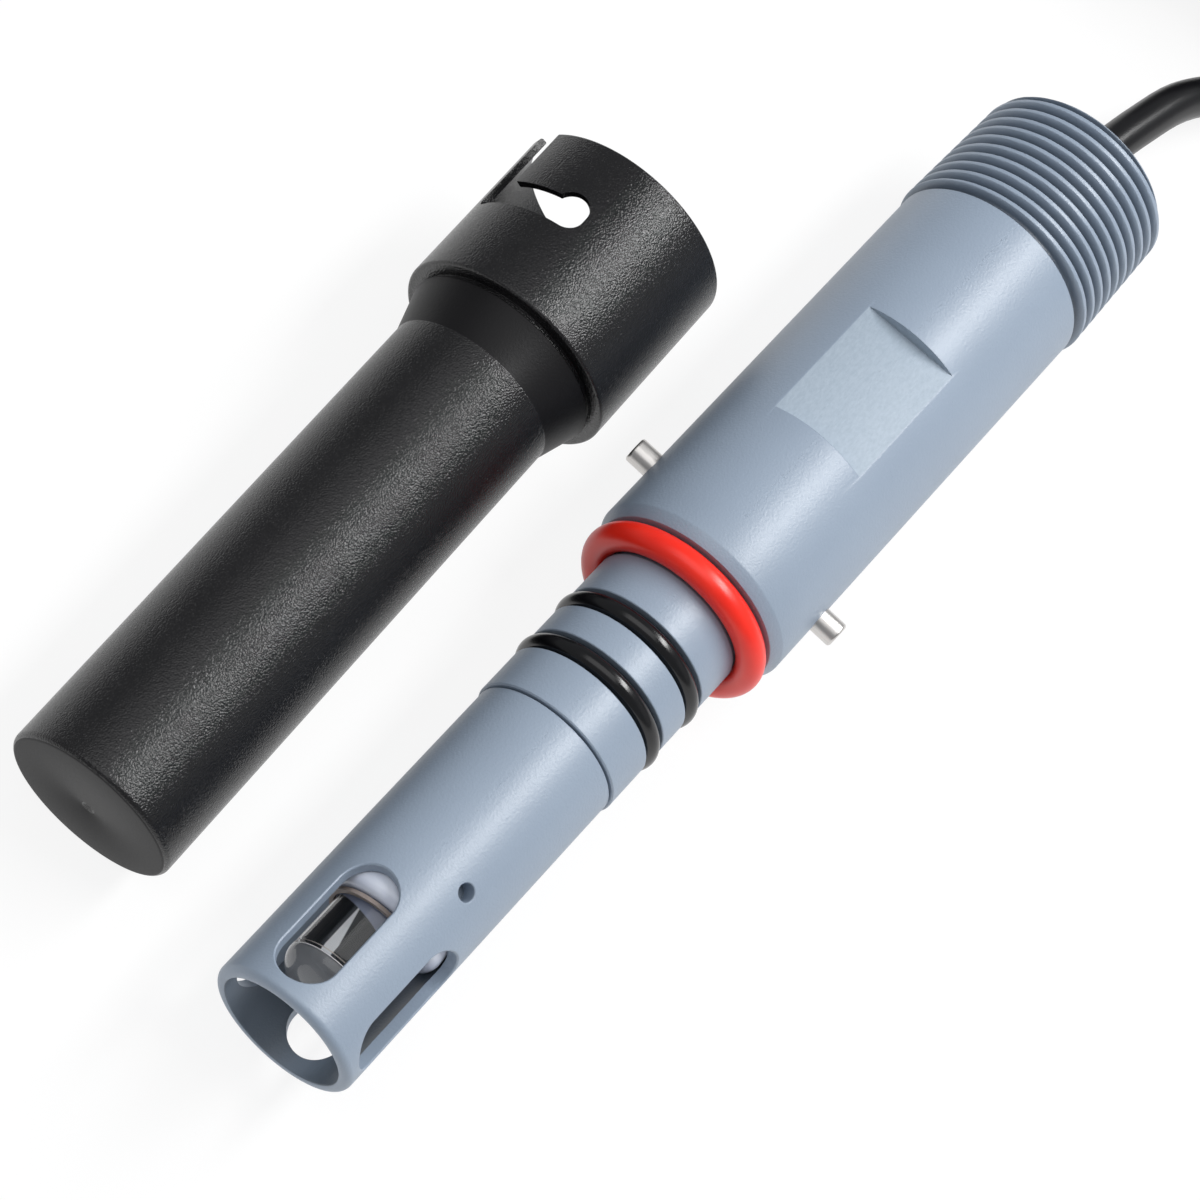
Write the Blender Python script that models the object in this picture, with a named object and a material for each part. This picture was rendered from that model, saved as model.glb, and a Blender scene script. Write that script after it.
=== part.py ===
"""Quick-release pH electrode lying on a bench, with its protective cap taken off beside it.

The electrode lies along X with its sensing end at -X and its cable leaving at +X.
Its upper wrench flat faces +Z. The cap lies on its +Y side and the cable is coiled in line
with it, past its rear end. Z = 0 is the bench. Every size is in metres.
"""

import math

import bmesh
import bpy
from mathutils import Vector

# Clearances
CLEAR = 0.0003
SEAL_CLEAR = 0.0004
PIN_TRAVEL_CLEAR = 0.0007
CAP_CLEAR = 0.0003

# Sensor guard, front rim at x = 0
GUARD_LENGTH = 0.0571
GUARD_R = 0.01178
GUARD_BORE_R = 0.00995
GUARD_RIM_FILLET = 0.0012
GUARD_BORE_CHAMFER = 0.0003
JUNCTION_SEAT_X = 0.0265
SPIGOT_R = 0.0099
SPIGOT_LENGTH = 0.0054
CHAMBER_R = 0.0082
SLOT_COUNT = 4
SLOT_WIDTH = 0.0091
SLOT_FRONT_X = 0.0026
SLOT_REAR_X = 0.0234
SLOT_ANGLE = math.radians(17.8)
VENT_X = 0.0290
VENT_D = 0.0027
VENT_DEPTH = 0.0026
VENT_ANGLE = math.radians(-33.4)

# Housing: nose, body and pipe thread in one piece
NOSE_LENGTH = 0.0328
NOSE_R = 0.01216
NOSE_CHAMFER = 0.0002
GROOVE_SETBACK = 0.0081
GROOVE_PITCH = 0.00905
GROOVE_WIDTH = 0.0038
SEAL_SEAT_R = 0.01145
BODY_LENGTH = 0.0759
BODY_R = 0.0165
SHOULDER_CHAMFER = 0.00105
SHOULDER_CHAMFER_LENGTH = 0.0017
THREAD_LENGTH = 0.0247
THREAD_R = 0.0171
THREAD_TAPER = 1 / 32
THREAD_PITCH = 0.0254 / 11
THREAD_DEPTH = 0.00146
THREAD_RELIEF_WIDTH = 0.0006
THREAD_RELIEF_R = 0.0156
THREAD_LEAD = 0.0007
THREAD_END_CHAMFER = 0.0012
FLAT_SETBACK = 0.0259
FLAT_LENGTH = 0.02325
FLAT_ACROSS = 0.02892
CAVITY_SETBACK = 0.0221
CAVITY_R = 0.0115

# Seals
O_RING_D = 0.0030
O_RING_PROUD = 0.00052
SEAL_D = 0.0044

# Bayonet pins
PIN_SETBACK = 0.0126
PIN_D = 0.0041
PIN_PROUD = 0.00365
PIN_DEPTH = 0.0055
PIN_END_CHAMFER = 0.0004
PIN_ROLL = math.radians(4.75)

# Measuring glass and what it carries
GLASS_R = 0.0070
GLASS_WALL = 0.0011
GLASS_TIP_X = 0.0064
GLASS_DOME_DEPTH = 0.0038
GLASS_BEAD = 0.0001
GLASS_BEAD_BLEND = 0.0012
DOME_FULLNESS = 0.75
GLASS_REAR_SETBACK = 0.0040
MEMBRANE_WALL = 0.0009
JUNCTION_LENGTH = 0.0056
JUNCTION_FILLET = 0.0018
GLASS_SEAL_LENGTH = 0.0006
GLASS_SEAL_WALL = 0.0007
STOPPER_LENGTH = 0.0080
ELEMENT_R = 0.0006
ELEMENT_TIP_R = 0.0010
ELEMENT_TIP_LENGTH = 0.0090
ELEMENT_FRONT_X = 0.0180
REFERENCE_R = 0.0003
REFERENCE_FRONT_X = 0.0340
BULKHEAD_LENGTH = 0.0040
ELEMENT_TAIL = 0.0017
POTTING_SETBACK = 0.0027
POTTING_RECESS = 0.0012
CABLE_SOCKET_DEPTH = 0.0268

# Protective cap, closed end at s = 0 along its own axis
CAP_LENGTH = 0.1226
CAP_WALL = 0.0014
CAP_END_WALL = 0.0016
CAP_EDGE_FILLET = 0.0010
CAP_FLOOR_FILLET = 0.0012
CAP_DIMPLE_R = 0.0011
CAP_DIMPLE_DEPTH = 0.0004
CONE_LENGTH = 0.0072
CONE_RISE = 0.00214
COLLAR_LENGTH = 0.0290
COLLAR_WALL = 0.0011
COLLAR_BORE_CLEAR = 0.00025
COLLAR_EDGE_FILLET = 0.0005
UNDERCUT_WIDTH = 0.0009
UNDERCUT_DEPTH = 0.0006
SEAT_CONE_LENGTH = 0.0034
SEAT_CONE_RISE = 0.0008
MOUTH_CHAMFER = 0.0004
SEAL_SQUEEZE = 0.0007
POCKET_SETBACK = 0.0123
POCKET_R = 0.0029
POCKET_OFFSET = 0.0010
POCKET_ANGLE = math.radians(15.5)
ENTRY_ANGLE = math.radians(62.0)
SLOT_CORNER_R = 0.0016

# Where the cap lies beside the electrode
CAP_FRONT_GAP = 0.0072
CAP_SPACING = 0.0407
CAP_YAW = math.radians(1.82)

# Cable, its coil and its stripped end
CABLE_D = 0.0065
COIL_MEAN_D = 0.0732
COIL_COLUMNS = 4
COIL_LAYERS = 3
COIL_CORNER = 0.0026
TIE_THICKNESS = 0.0012
TIE_WIDTH = 0.0080
TIE_ANGLE = math.radians(-30)
BOOT_LENGTH = 0.0200
BOOT_WALL = 0.0008
BOOT_TAPER_LENGTH = 0.0016
LEAD_D = 0.0022
TERMINAL_D = 0.0029
TERMINAL_LENGTH = 0.0140
TERMINAL_PIN_D = 0.0014
TERMINAL_COLLAR_LENGTH = 0.0060
TERMINAL_TAPER_LENGTH = 0.0007

# Facets of turned shapes, of corners and of routes
TURN_STEPS = 48
GLASS_STEPS = 32
PIN_STEPS = 24
SMALL_STEPS = 16
WIRE_STEPS = 8
RING_STEPS = 36
DOME_STEPS = 7
CORNER_STEPS = 3
FILLET_STEPS = 4
POCKET_STEPS = 8
SLOT_END_STEPS = 10
O_RING_SIDES = 8
SEAL_SIDES = 12
ROUTE_PARTS = 24

# Distance between a cord's points, in diameters
CORD_STEP = 2.0
TAIL_STEP = 1.5

# Cutters start inside a wall and end outside it, as shares of its radius
CUTTER_INNER = 0.8
CUTTER_OUTER = 1.5

# Cable route from the rear face: x behind it, y from the axis, height above the bench
CABLE_ROUTE = (
    (-0.0265, 0.0000, 0.01710),
    (-0.0180, 0.0000, 0.01710),
    (-0.0090, 0.0000, 0.01710),
    (-0.0010, 0.0000, 0.01708),
    (0.0085, -0.0006, 0.01615),
    (0.0175, -0.0018, 0.01480),
    (0.0270, -0.0036, 0.01270),
    (0.0370, -0.0074, 0.00850),
    (0.0480, -0.0133, 0.00500),
    (0.0617, -0.0198, 0.00475),
)
# Free end of the cable, from the coil's centre, on the bench
TAIL_ROUTE = (
    (0.00926, -0.05249),
    (0.02278, -0.04885),
    (0.03535, -0.04213),
    (0.04600, -0.03215),
    (0.05320, -0.01965),
)
# Stripped leads, ahead of the boot and to its side
SIGNAL_ROUTE = ((0.0, 0.0014), (0.008, 0.0026), (0.018, 0.0072), (0.027, 0.0145))
SHIELD_ROUTE = ((0.0, -0.0014), (0.009, -0.0014), (0.020, 0.0016), (0.031, 0.0078))

# Places along the electrode worked out from the sizes above
NOSE_X = GUARD_LENGTH + CLEAR
SHOULDER_X = GUARD_LENGTH + NOSE_LENGTH
THREAD_X = SHOULDER_X + BODY_LENGTH
REAR_X = THREAD_X + THREAD_LENGTH
THREAD_REAR_R = THREAD_R - THREAD_LENGTH * THREAD_TAPER
CAVITY_X = SHOULDER_X + CAVITY_SETBACK
PIN_X = SHOULDER_X + PIN_SETBACK
SEAL_R = SEAL_SEAT_R + CLEAR + SEAL_D / 2
SEAL_X = SHOULDER_X - SEAL_CLEAR - SEAL_D / 2
O_RING_R = NOSE_R + O_RING_PROUD - O_RING_D / 2
GROOVE_R = O_RING_R - O_RING_D / 2 - CLEAR
JUNCTION_FRONT_X = JUNCTION_SEAT_X - CLEAR - JUNCTION_LENGTH
GLASS_REAR_X = CAVITY_X - GLASS_REAR_SETBACK
BULKHEAD_X = CAVITY_X + CLEAR
POTTING_X = BULKHEAD_X + BULKHEAD_LENGTH + POTTING_SETBACK
ELEMENT_REAR_X = BULKHEAD_X + BULKHEAD_LENGTH + ELEMENT_TAIL
ELEMENT_HOLE_R = ELEMENT_R + CLEAR
REFERENCE_OFFSET = CHAMBER_R - CLEAR - REFERENCE_R
REFERENCE_HOLE_R = REFERENCE_R + CLEAR
INNER_PLUG_R = CAVITY_R - CLEAR

# Cap sizes that follow the electrode it fits
CAP_BORE_R = NOSE_R + CAP_CLEAR
CAP_R = CAP_BORE_R + CAP_WALL
CONE_R = CAP_R + CONE_RISE
COLLAR_BORE_R = BODY_R + COLLAR_BORE_CLEAR
COLLAR_R = COLLAR_BORE_R + COLLAR_WALL
COLLAR_S = CAP_LENGTH - COLLAR_LENGTH
CONE_END_S = COLLAR_S - UNDERCUT_WIDTH
POCKET_S = CAP_LENGTH - POCKET_SETBACK
PIN_REST_S = POCKET_S + POCKET_R - PIN_D / 2
SEAT_X = SHOULDER_X - SEAL_CLEAR - SEAL_D + SEAL_SQUEEZE
CAP_SEAT_S = PIN_REST_S - (PIN_X - SEAT_X)
J_WIDTH = PIN_D + PIN_TRAVEL_CLEAR
LEG_S = POCKET_S - POCKET_OFFSET


def cap_lean():
    """Angle at which the closed end's edge and the collar's edge both touch the bench."""
    run = COLLAR_S + COLLAR_EDGE_FILLET - CAP_EDGE_FILLET
    rise = (COLLAR_R - COLLAR_EDGE_FILLET) - (CAP_R - CAP_EDGE_FILLET)
    shift = COLLAR_EDGE_FILLET - CAP_EDGE_FILLET
    return math.atan2(rise, run) + math.asin(shift / math.hypot(run, rise))


CAP_LEAN = cap_lean()
CAP_HEIGHT = (
    CAP_EDGE_FILLET * (1 - math.sin(CAP_LEAN))
    + (CAP_R - CAP_EDGE_FILLET) * math.cos(CAP_LEAN)
)

# The origin is under the middle of the electrode and cap
PIN_REACH = BODY_R + PIN_PROUD
PIN_SIDE = PIN_REACH * math.cos(PIN_ROLL) + PIN_D / 2 * math.sin(PIN_ROLL)
CAP_SIDE = CAP_SPACING + CAP_LENGTH * math.sin(CAP_YAW) + COLLAR_R
ORIGIN_X = REAR_X / 2
ORIGIN_Y = (CAP_SIDE - PIN_SIDE) / 2

# Coil sizes
COIL_WIDTH = COIL_COLUMNS * CABLE_D
COIL_HEIGHT = COIL_LAYERS * CABLE_D
COIL_R = COIL_MEAN_D / 2
COIL_OUTER_R = COIL_R + COIL_WIDTH / 2
COIL_LANE_R = COIL_OUTER_R - CABLE_D / 2
COIL_BASE = TIE_THICKNESS + CLEAR


def arc(x, r, radius, start, end, steps):
    """Points of a round corner about (x, r), angles in degrees from +x toward +r."""
    points = []
    for step in range(steps + 1):
        angle = math.radians(start + (end - start) * step / steps)
        points.append((x + radius * math.cos(angle), r + radius * math.sin(angle)))
    return points


def rounded_box(x0, x1, z0, z1, corner):
    """Outline of a box whose corners are rounded about (x0, z0) to (x1, z1)."""
    outline = arc(x1, z0, corner, -90, 0, CORNER_STEPS)
    outline += arc(x1, z1, corner, 0, 90, CORNER_STEPS)
    outline += arc(x0, z1, corner, 90, 180, CORNER_STEPS)
    return outline + arc(x0, z0, corner, 180, 270, CORNER_STEPS)


def material(name, colour, roughness, metallic=0.0):
    """Principled material with one colour."""
    made = bpy.data.materials.new(name)
    made.use_nodes = True
    shader = made.node_tree.nodes["Principled BSDF"]
    shader.inputs["Base Color"].default_value = (*colour, 1.0)
    shader.inputs["Roughness"].default_value = roughness
    shader.inputs["Metallic"].default_value = metallic
    made.diffuse_color = (*colour, 1.0)
    return made


def add_object(name, mesh, finish, parent):
    """Link a mesh as a named object under its parent."""
    made = bpy.data.objects.new(name, mesh)
    bpy.context.scene.collection.objects.link(made)
    if finish:
        mesh.materials.append(finish)
    made.parent = parent
    return made


def finish_mesh(bm, name):
    """Close the bmesh into a smooth-shaded mesh with its faces pointing out."""
    bmesh.ops.recalc_face_normals(bm, faces=bm.faces)
    mesh = bpy.data.meshes.new(name)
    bm.to_mesh(mesh)
    bm.free()
    mesh.shade_smooth()
    mesh.set_sharp_from_angle(angle=math.radians(32))
    return mesh


def turned(name, profile, finish, parent, steps=TURN_STEPS, closed=True):
    """Revolve an (x, r) profile round X. An open profile starts and ends on the axis."""
    bm = bmesh.new()
    verts = [bm.verts.new((x, 0.0, r)) for x, r in profile]
    edges = [bm.edges.new(pair) for pair in zip(verts, verts[1:])]
    if closed:
        edges.append(bm.edges.new((verts[-1], verts[0])))
    bmesh.ops.spin(
        bm,
        geom=verts + edges,
        cent=(0, 0, 0),
        axis=(1, 0, 0),
        angle=math.tau,
        steps=steps,
        use_merge=True,
    )
    bmesh.ops.remove_doubles(bm, verts=bm.verts, dist=1e-6)
    return add_object(name, finish_mesh(bm, name), finish, parent)


def ring(name, centre_x, centre_r, radius, sides, finish, parent, steps=RING_STEPS):
    """Round-section ring about X."""
    section = arc(centre_x, centre_r, radius, 0, 360, sides)[:-1]
    return turned(name, section, finish, parent, steps)


def prism(name, outline, low, high, parent):
    """Cutter with an (x, y) outline, from z = low to z = high."""
    bm = bmesh.new()
    base = bm.faces.new([bm.verts.new((x, y, low)) for x, y in outline])
    raised = bmesh.ops.extrude_face_region(bm, geom=[base])
    moved = [item for item in raised["geom"] if isinstance(item, bmesh.types.BMVert)]
    bmesh.ops.translate(bm, verts=moved, vec=(0, 0, high - low))
    made = add_object(name, finish_mesh(bm, name), None, parent)
    made.hide_render = True
    made.display_type = "WIRE"
    return made


def cut(target, cutter):
    """Subtract the cutter from the target."""
    step = target.modifiers.new(cutter.name, "BOOLEAN")
    step.operation = "DIFFERENCE"
    step.solver = "EXACT"
    step.object = cutter


def smooth_route(points, step):
    """Even points along a Catmull-Rom curve through the route's own points."""
    ends = [points[0] * 2 - points[1], *points, points[-1] * 2 - points[-2]]
    fine = []
    for a, b, c, d in zip(ends, ends[1:], ends[2:], ends[3:]):
        for part in range(ROUTE_PARTS):
            t = part / ROUTE_PARTS
            bend = 2 * a - 5 * b + 4 * c - d
            twist = 3 * b - a - 3 * c + d
            fine.append(0.5 * (2 * b + (c - a) * t + bend * t**2 + twist * t**3))
    fine.append(points[-1])
    length = sum((b - a).length for a, b in zip(fine, fine[1:]))
    count = max(2, round(length / step))
    even = [fine[0]]
    travelled = 0.0
    for a, b in zip(fine, fine[1:]):
        span = (b - a).length
        while len(even) < count and travelled + span >= length * len(even) / count:
            share = (length * len(even) / count - travelled) / span
            even.append(a.lerp(b, share))
        travelled += span
    return [*even, fine[-1]]


def tube(name, points, diameter, finish, parent, sides=2):
    """Round cord through the points, with capped ends."""
    curve = bpy.data.curves.new(name, "CURVE")
    curve.dimensions = "3D"
    curve.bevel_depth = diameter / 2
    curve.bevel_resolution = sides
    curve.use_fill_caps = True
    curve.render_resolution_u = 0
    line = curve.splines.new("POLY")
    line.points.add(len(points) - 1)
    for spot, place in zip(line.points, points):
        spot.co = (*place, 1.0)
    curve.materials.append(finish)
    made = bpy.data.objects.new(name, curve)
    bpy.context.scene.collection.objects.link(made)
    made.parent = parent
    return made


def guard(finish, parent):
    """Slotted guard: one tube with four slots, a vent hole and a spigot for the nose."""
    rear = GUARD_LENGTH + SPIGOT_LENGTH
    fillet = GUARD_RIM_FILLET
    rim = arc(fillet, GUARD_R - fillet, fillet, 180, 90, FILLET_STEPS)
    profile = [
        *rim,
        (GUARD_LENGTH, GUARD_R),
        (GUARD_LENGTH, SPIGOT_R),
        (rear, SPIGOT_R),
        (rear, CHAMBER_R),
        (JUNCTION_SEAT_X, CHAMBER_R),
        (JUNCTION_SEAT_X, GUARD_BORE_R),
        (GUARD_BORE_CHAMFER, GUARD_BORE_R),
        (0.0, GUARD_BORE_R + GUARD_BORE_CHAMFER),
    ]
    made = turned("guard", profile, finish, parent)
    half = SLOT_WIDTH / 2
    stadium = arc(SLOT_FRONT_X + half, 0, half, 90, 270, SLOT_END_STEPS)
    stadium += arc(SLOT_REAR_X - half, 0, half, -90, 90, SLOT_END_STEPS)
    for number in range(SLOT_COUNT):
        cutter = prism(f"slot_cutter_{number}", stadium, GLASS_R, GUARD_R * CUTTER_OUTER, parent)
        cutter.rotation_euler.x = -(SLOT_ANGLE + math.tau * number / SLOT_COUNT)
        cut(made, cutter)
    hole = arc(VENT_X, 0, VENT_D / 2, 0, 360, SMALL_STEPS)[:-1]
    cutter = prism("vent_cutter", hole, GUARD_R - VENT_DEPTH, GUARD_R * CUTTER_OUTER, parent)
    cutter.rotation_euler.x = -VENT_ANGLE
    cut(made, cutter)
    return made


def thread_radius(x, crest):
    """Radius on the taper at x, on a crest or in a root, with both ends run out."""
    start = THREAD_X + THREAD_RELIEF_WIDTH
    outer = THREAD_R - (x - THREAD_X) * THREAD_TAPER
    if x >= REAR_X:
        return THREAD_REAR_R - THREAD_END_CHAMFER
    wave = outer if crest else outer - THREAD_DEPTH
    share = min(1.0, (x - start) / THREAD_LEAD)
    lead = THREAD_RELIEF_R + (wave - THREAD_RELIEF_R) * share
    return min(lead, outer - max(0.0, x - (REAR_X - THREAD_END_CHAMFER)))


def threaded(name, profile, finish, parent):
    """Revolve an open (x, r) profile round X and close it with a right-hand thread.

    The profile runs from the thread's rear end, inside and over the front, to its start.
    The thread's rows follow the helix, a crest and a root in turn, and stop at both ends.
    """
    start = THREAD_X + THREAD_RELIEF_WIDTH
    bm = bmesh.new()
    rows = []
    for x, r in profile:
        rows.append([(x, r)] * (TURN_STEPS + 1))
    count = math.ceil(2 + 2 * (REAR_X - start) / THREAD_PITCH) + 1
    for number in range(count):
        row = []
        for step in range(TURN_STEPS + 1):
            x = start + THREAD_PITCH * (number / 2 - step / TURN_STEPS)
            x = min(REAR_X, max(start, x))
            row.append((x, thread_radius(x, number % 2)))
        rows.append(row)
    placed = []
    for row in rows:
        line = []
        for step, (x, r) in enumerate(row):
            angle = math.tau * step / TURN_STEPS
            line.append(bm.verts.new((x, r * math.sin(angle), r * math.cos(angle))))
        placed.append(line)
    for first, second in zip(placed, placed[1:]):
        for step in range(TURN_STEPS):
            bm.faces.new((first[step], first[step + 1], second[step + 1], second[step]))
    bmesh.ops.remove_doubles(bm, verts=bm.verts, dist=1e-6)
    return add_object(name, finish_mesh(bm, name), finish, parent)


def housing(finish, parent):
    """Nose with its seal grooves, round body, and tapered pipe thread, in one piece."""
    socket_end = GUARD_LENGTH + SPIGOT_LENGTH + CLEAR
    socket_r = SPIGOT_R + CLEAR
    profile = [
        (REAR_X, THREAD_REAR_R - THREAD_END_CHAMFER),
        (REAR_X, CAVITY_R),
        (CAVITY_X, CAVITY_R),
        (CAVITY_X, CHAMBER_R),
        (socket_end, CHAMBER_R),
        (socket_end, socket_r),
        (NOSE_X, socket_r),
        (NOSE_X, NOSE_R - NOSE_CHAMFER),
        (NOSE_X + NOSE_CHAMFER, NOSE_R),
    ]
    for number in range(2):
        front = GUARD_LENGTH + GROOVE_SETBACK + GROOVE_PITCH * number
        rear = front + GROOVE_WIDTH
        profile += [(front, NOSE_R), (front, GROOVE_R), (rear, GROOVE_R), (rear, NOSE_R)]
    seat_x = SEAL_X - math.sqrt((SEAL_D / 2 + CLEAR) ** 2 - (SEAL_R - NOSE_R) ** 2)
    profile += [
        (seat_x, NOSE_R),
        (seat_x, SEAL_SEAT_R),
        (SHOULDER_X, SEAL_SEAT_R),
        (SHOULDER_X, BODY_R - SHOULDER_CHAMFER),
        (SHOULDER_X + SHOULDER_CHAMFER_LENGTH, BODY_R),
        (THREAD_X, BODY_R),
        (THREAD_X, THREAD_RELIEF_R),
    ]
    made = threaded("housing", profile, finish, parent)
    flat_x = SHOULDER_X + FLAT_SETBACK
    reach = BODY_R * CUTTER_OUTER
    window = [
        (flat_x, -reach),
        (flat_x + FLAT_LENGTH, -reach),
        (flat_x + FLAT_LENGTH, reach),
        (flat_x, reach),
    ]
    for side, turn in (("upper", 0.0), ("lower", math.pi)):
        cutter = prism(f"flat_cutter_{side}", window, FLAT_ACROSS / 2, reach, parent)
        cutter.rotation_euler.x = turn
        cut(made, cutter)
    hole = arc(PIN_X, 0, PIN_D / 2 + CLEAR, 0, 360, SMALL_STEPS)[:-1]
    hole_foot = BODY_R - PIN_DEPTH - CLEAR
    for side, turn in (("left", -math.pi / 2), ("right", math.pi / 2)):
        cutter = prism(f"pin_cutter_{side}", hole, hole_foot, reach, parent)
        cutter.rotation_euler.x = turn + PIN_ROLL
        cut(made, cutter)
    return made


def bayonet_pin(name, turn, finish, parent):
    """Steel dowel pressed into the body, chamfered at both ends."""
    foot = BODY_R - PIN_DEPTH
    radius = PIN_D / 2
    profile = [
        (foot, 0.0),
        (foot, radius - PIN_END_CHAMFER),
        (foot + PIN_END_CHAMFER, radius),
        (PIN_REACH - PIN_END_CHAMFER, radius),
        (PIN_REACH, radius - PIN_END_CHAMFER),
        (PIN_REACH, 0.0),
    ]
    made = turned(name, profile, finish, parent, PIN_STEPS, closed=False)
    made.rotation_mode = "ZYX"
    made.rotation_euler = (turn + PIN_ROLL, 0.0, math.pi / 2)
    made.location.x = PIN_X
    return made


def glass_electrode(finish, parent):
    """Closed glass tube with a low domed membrane, open at its rear."""
    bore = GLASS_R - GLASS_WALL
    shoulder_x = GLASS_TIP_X + GLASS_DOME_DEPTH
    inner_tip = GLASS_TIP_X + MEMBRANE_WALL
    inner_depth = GLASS_DOME_DEPTH + GLASS_WALL - MEMBRANE_WALL
    outer = []
    inner = []
    for step in range(DOME_STEPS + 1):
        angle = math.pi / 2 * step / DOME_STEPS
        sweep = math.sin(angle) ** DOME_FULLNESS
        rise = 1 - math.cos(angle)
        outer.append((GLASS_TIP_X + GLASS_DOME_DEPTH * rise, (GLASS_R + GLASS_BEAD) * sweep))
        inner.append((inner_tip + inner_depth * rise, bore * sweep))
    profile = outer + [
        (shoulder_x + GLASS_BEAD_BLEND, GLASS_R),
        (GLASS_REAR_X, GLASS_R),
        (GLASS_REAR_X, bore),
    ]
    profile += inner[::-1]
    return turned("glass_electrode", profile, finish, parent, GLASS_STEPS, closed=False)


def junction(finish, parent):
    """Porous ring round the glass, rounded on its front edge."""
    outer = GUARD_BORE_R - CLEAR
    inner = GLASS_R + CLEAR
    front = JUNCTION_FRONT_X
    fillet = JUNCTION_FILLET
    profile = arc(front + fillet, outer - fillet, fillet, 180, 90, FILLET_STEPS)
    profile += [
        (front + JUNCTION_LENGTH, outer),
        (front + JUNCTION_LENGTH, inner),
        (front, inner),
    ]
    return turned("junction", profile, finish, parent, GLASS_STEPS)


def sleeve(name, front, rear, inner, outer, finish, parent, steps=GLASS_STEPS):
    """Plain ring between two radii."""
    profile = [(front, inner), (front, outer), (rear, outer), (rear, inner)]
    return turned(name, profile, finish, parent, steps)


def measuring_element(finish, parent):
    """Silver wire on the axis with a coated tip in the glass."""
    tip_rear = ELEMENT_FRONT_X + ELEMENT_TIP_LENGTH
    profile = [
        (ELEMENT_FRONT_X, 0.0),
        (ELEMENT_FRONT_X, ELEMENT_TIP_R),
        (tip_rear, ELEMENT_TIP_R),
        (tip_rear, ELEMENT_R),
        (ELEMENT_REAR_X, ELEMENT_R),
        (ELEMENT_REAR_X, 0.0),
    ]
    return turned("measuring_element", profile, finish, parent, SMALL_STEPS, closed=False)


def reference_element(finish, parent):
    """Silver wire in the gel between the glass and the chamber wall, below the glass."""
    profile = [
        (REFERENCE_FRONT_X, 0.0),
        (REFERENCE_FRONT_X, REFERENCE_R),
        (ELEMENT_REAR_X, REFERENCE_R),
        (ELEMENT_REAR_X, 0.0),
    ]
    made = turned("reference_element", profile, finish, parent, WIRE_STEPS, closed=False)
    made.location.z = -REFERENCE_OFFSET
    return made


def bulkhead(finish, parent):
    """Disc that closes the electrolyte chamber and passes the two wires."""
    rear = BULKHEAD_X + BULKHEAD_LENGTH
    made = sleeve("bulkhead", BULKHEAD_X, rear, ELEMENT_HOLE_R, INNER_PLUG_R, finish, parent)
    profile = [
        (BULKHEAD_X - BULKHEAD_LENGTH, 0.0),
        (BULKHEAD_X - BULKHEAD_LENGTH, REFERENCE_HOLE_R),
        (rear + BULKHEAD_LENGTH, REFERENCE_HOLE_R),
        (rear + BULKHEAD_LENGTH, 0.0),
    ]
    drill = turned("wire_cutter", profile, None, parent, WIRE_STEPS, closed=False)
    drill.location.z = -REFERENCE_OFFSET
    drill.hide_render = True
    drill.display_type = "WIRE"
    cut(made, drill)
    return made


def potting(finish, parent):
    """Resin plug that seals the rear cavity round the cable."""
    rear = REAR_X - POTTING_RECESS
    socket = CABLE_D / 2 + CLEAR
    socket_x = REAR_X - CABLE_SOCKET_DEPTH
    profile = [
        (POTTING_X, 0.0),
        (POTTING_X, INNER_PLUG_R),
        (rear, INNER_PLUG_R),
        (rear, socket),
        (socket_x, socket),
        (socket_x, 0.0),
    ]
    return turned("potting", profile, finish, parent, GLASS_STEPS, closed=False)


def j_outline():
    """Bayonet slot on the unrolled collar: (angle, s) points, entry, leg and pocket."""
    mid_r = (COLLAR_BORE_R + COLLAR_R) / 2
    half = J_WIDTH / 2
    pocket_y = POCKET_ANGLE * mid_r
    entry_y = ENTRY_ANGLE * mid_r
    leg_front = LEG_S - half
    leg_rear = LEG_S + half
    open_end = CAP_LENGTH + half
    lip = math.degrees(math.acos((leg_rear - POCKET_S) / POCKET_R))
    points = arc(POCKET_S, pocket_y, POCKET_R, lip, -90, POCKET_STEPS)
    points += arc(LEG_S, pocket_y - POCKET_R + half, half, -90, -180, FILLET_STEPS)
    corner = SLOT_CORNER_R
    corner_y = entry_y + half - corner
    points += arc(leg_front + corner, corner_y, corner, 180, 90, CORNER_STEPS)
    points += [(open_end, entry_y + half), (open_end, entry_y - half)]
    points.append((leg_rear, entry_y - half))
    return [(y / mid_r, s) for s, y in points]


def j_cutter(name, turn, parent):
    """Bayonet slot cutter: the unrolled outline wrapped round the collar."""
    outline = j_outline()
    inner_r = COLLAR_BORE_R * CUTTER_INNER
    outer_r = COLLAR_R * CUTTER_OUTER
    bm = bmesh.new()
    loops = []
    for radius in (inner_r, outer_r):
        loop = []
        for angle, s in outline:
            place = (s, radius * math.sin(angle), radius * math.cos(angle))
            loop.append(bm.verts.new(place))
        loops.append(loop)
    low, high = loops
    count = len(outline)
    for index in range(count):
        after = (index + 1) % count
        bm.faces.new((low[index], low[after], high[after], high[index]))
    bm.faces.new(low)
    bm.faces.new(high[::-1])
    made = add_object(name, finish_mesh(bm, name), None, parent)
    made.rotation_euler.x = turn
    made.hide_render = True
    made.display_type = "WIRE"
    return made


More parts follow.
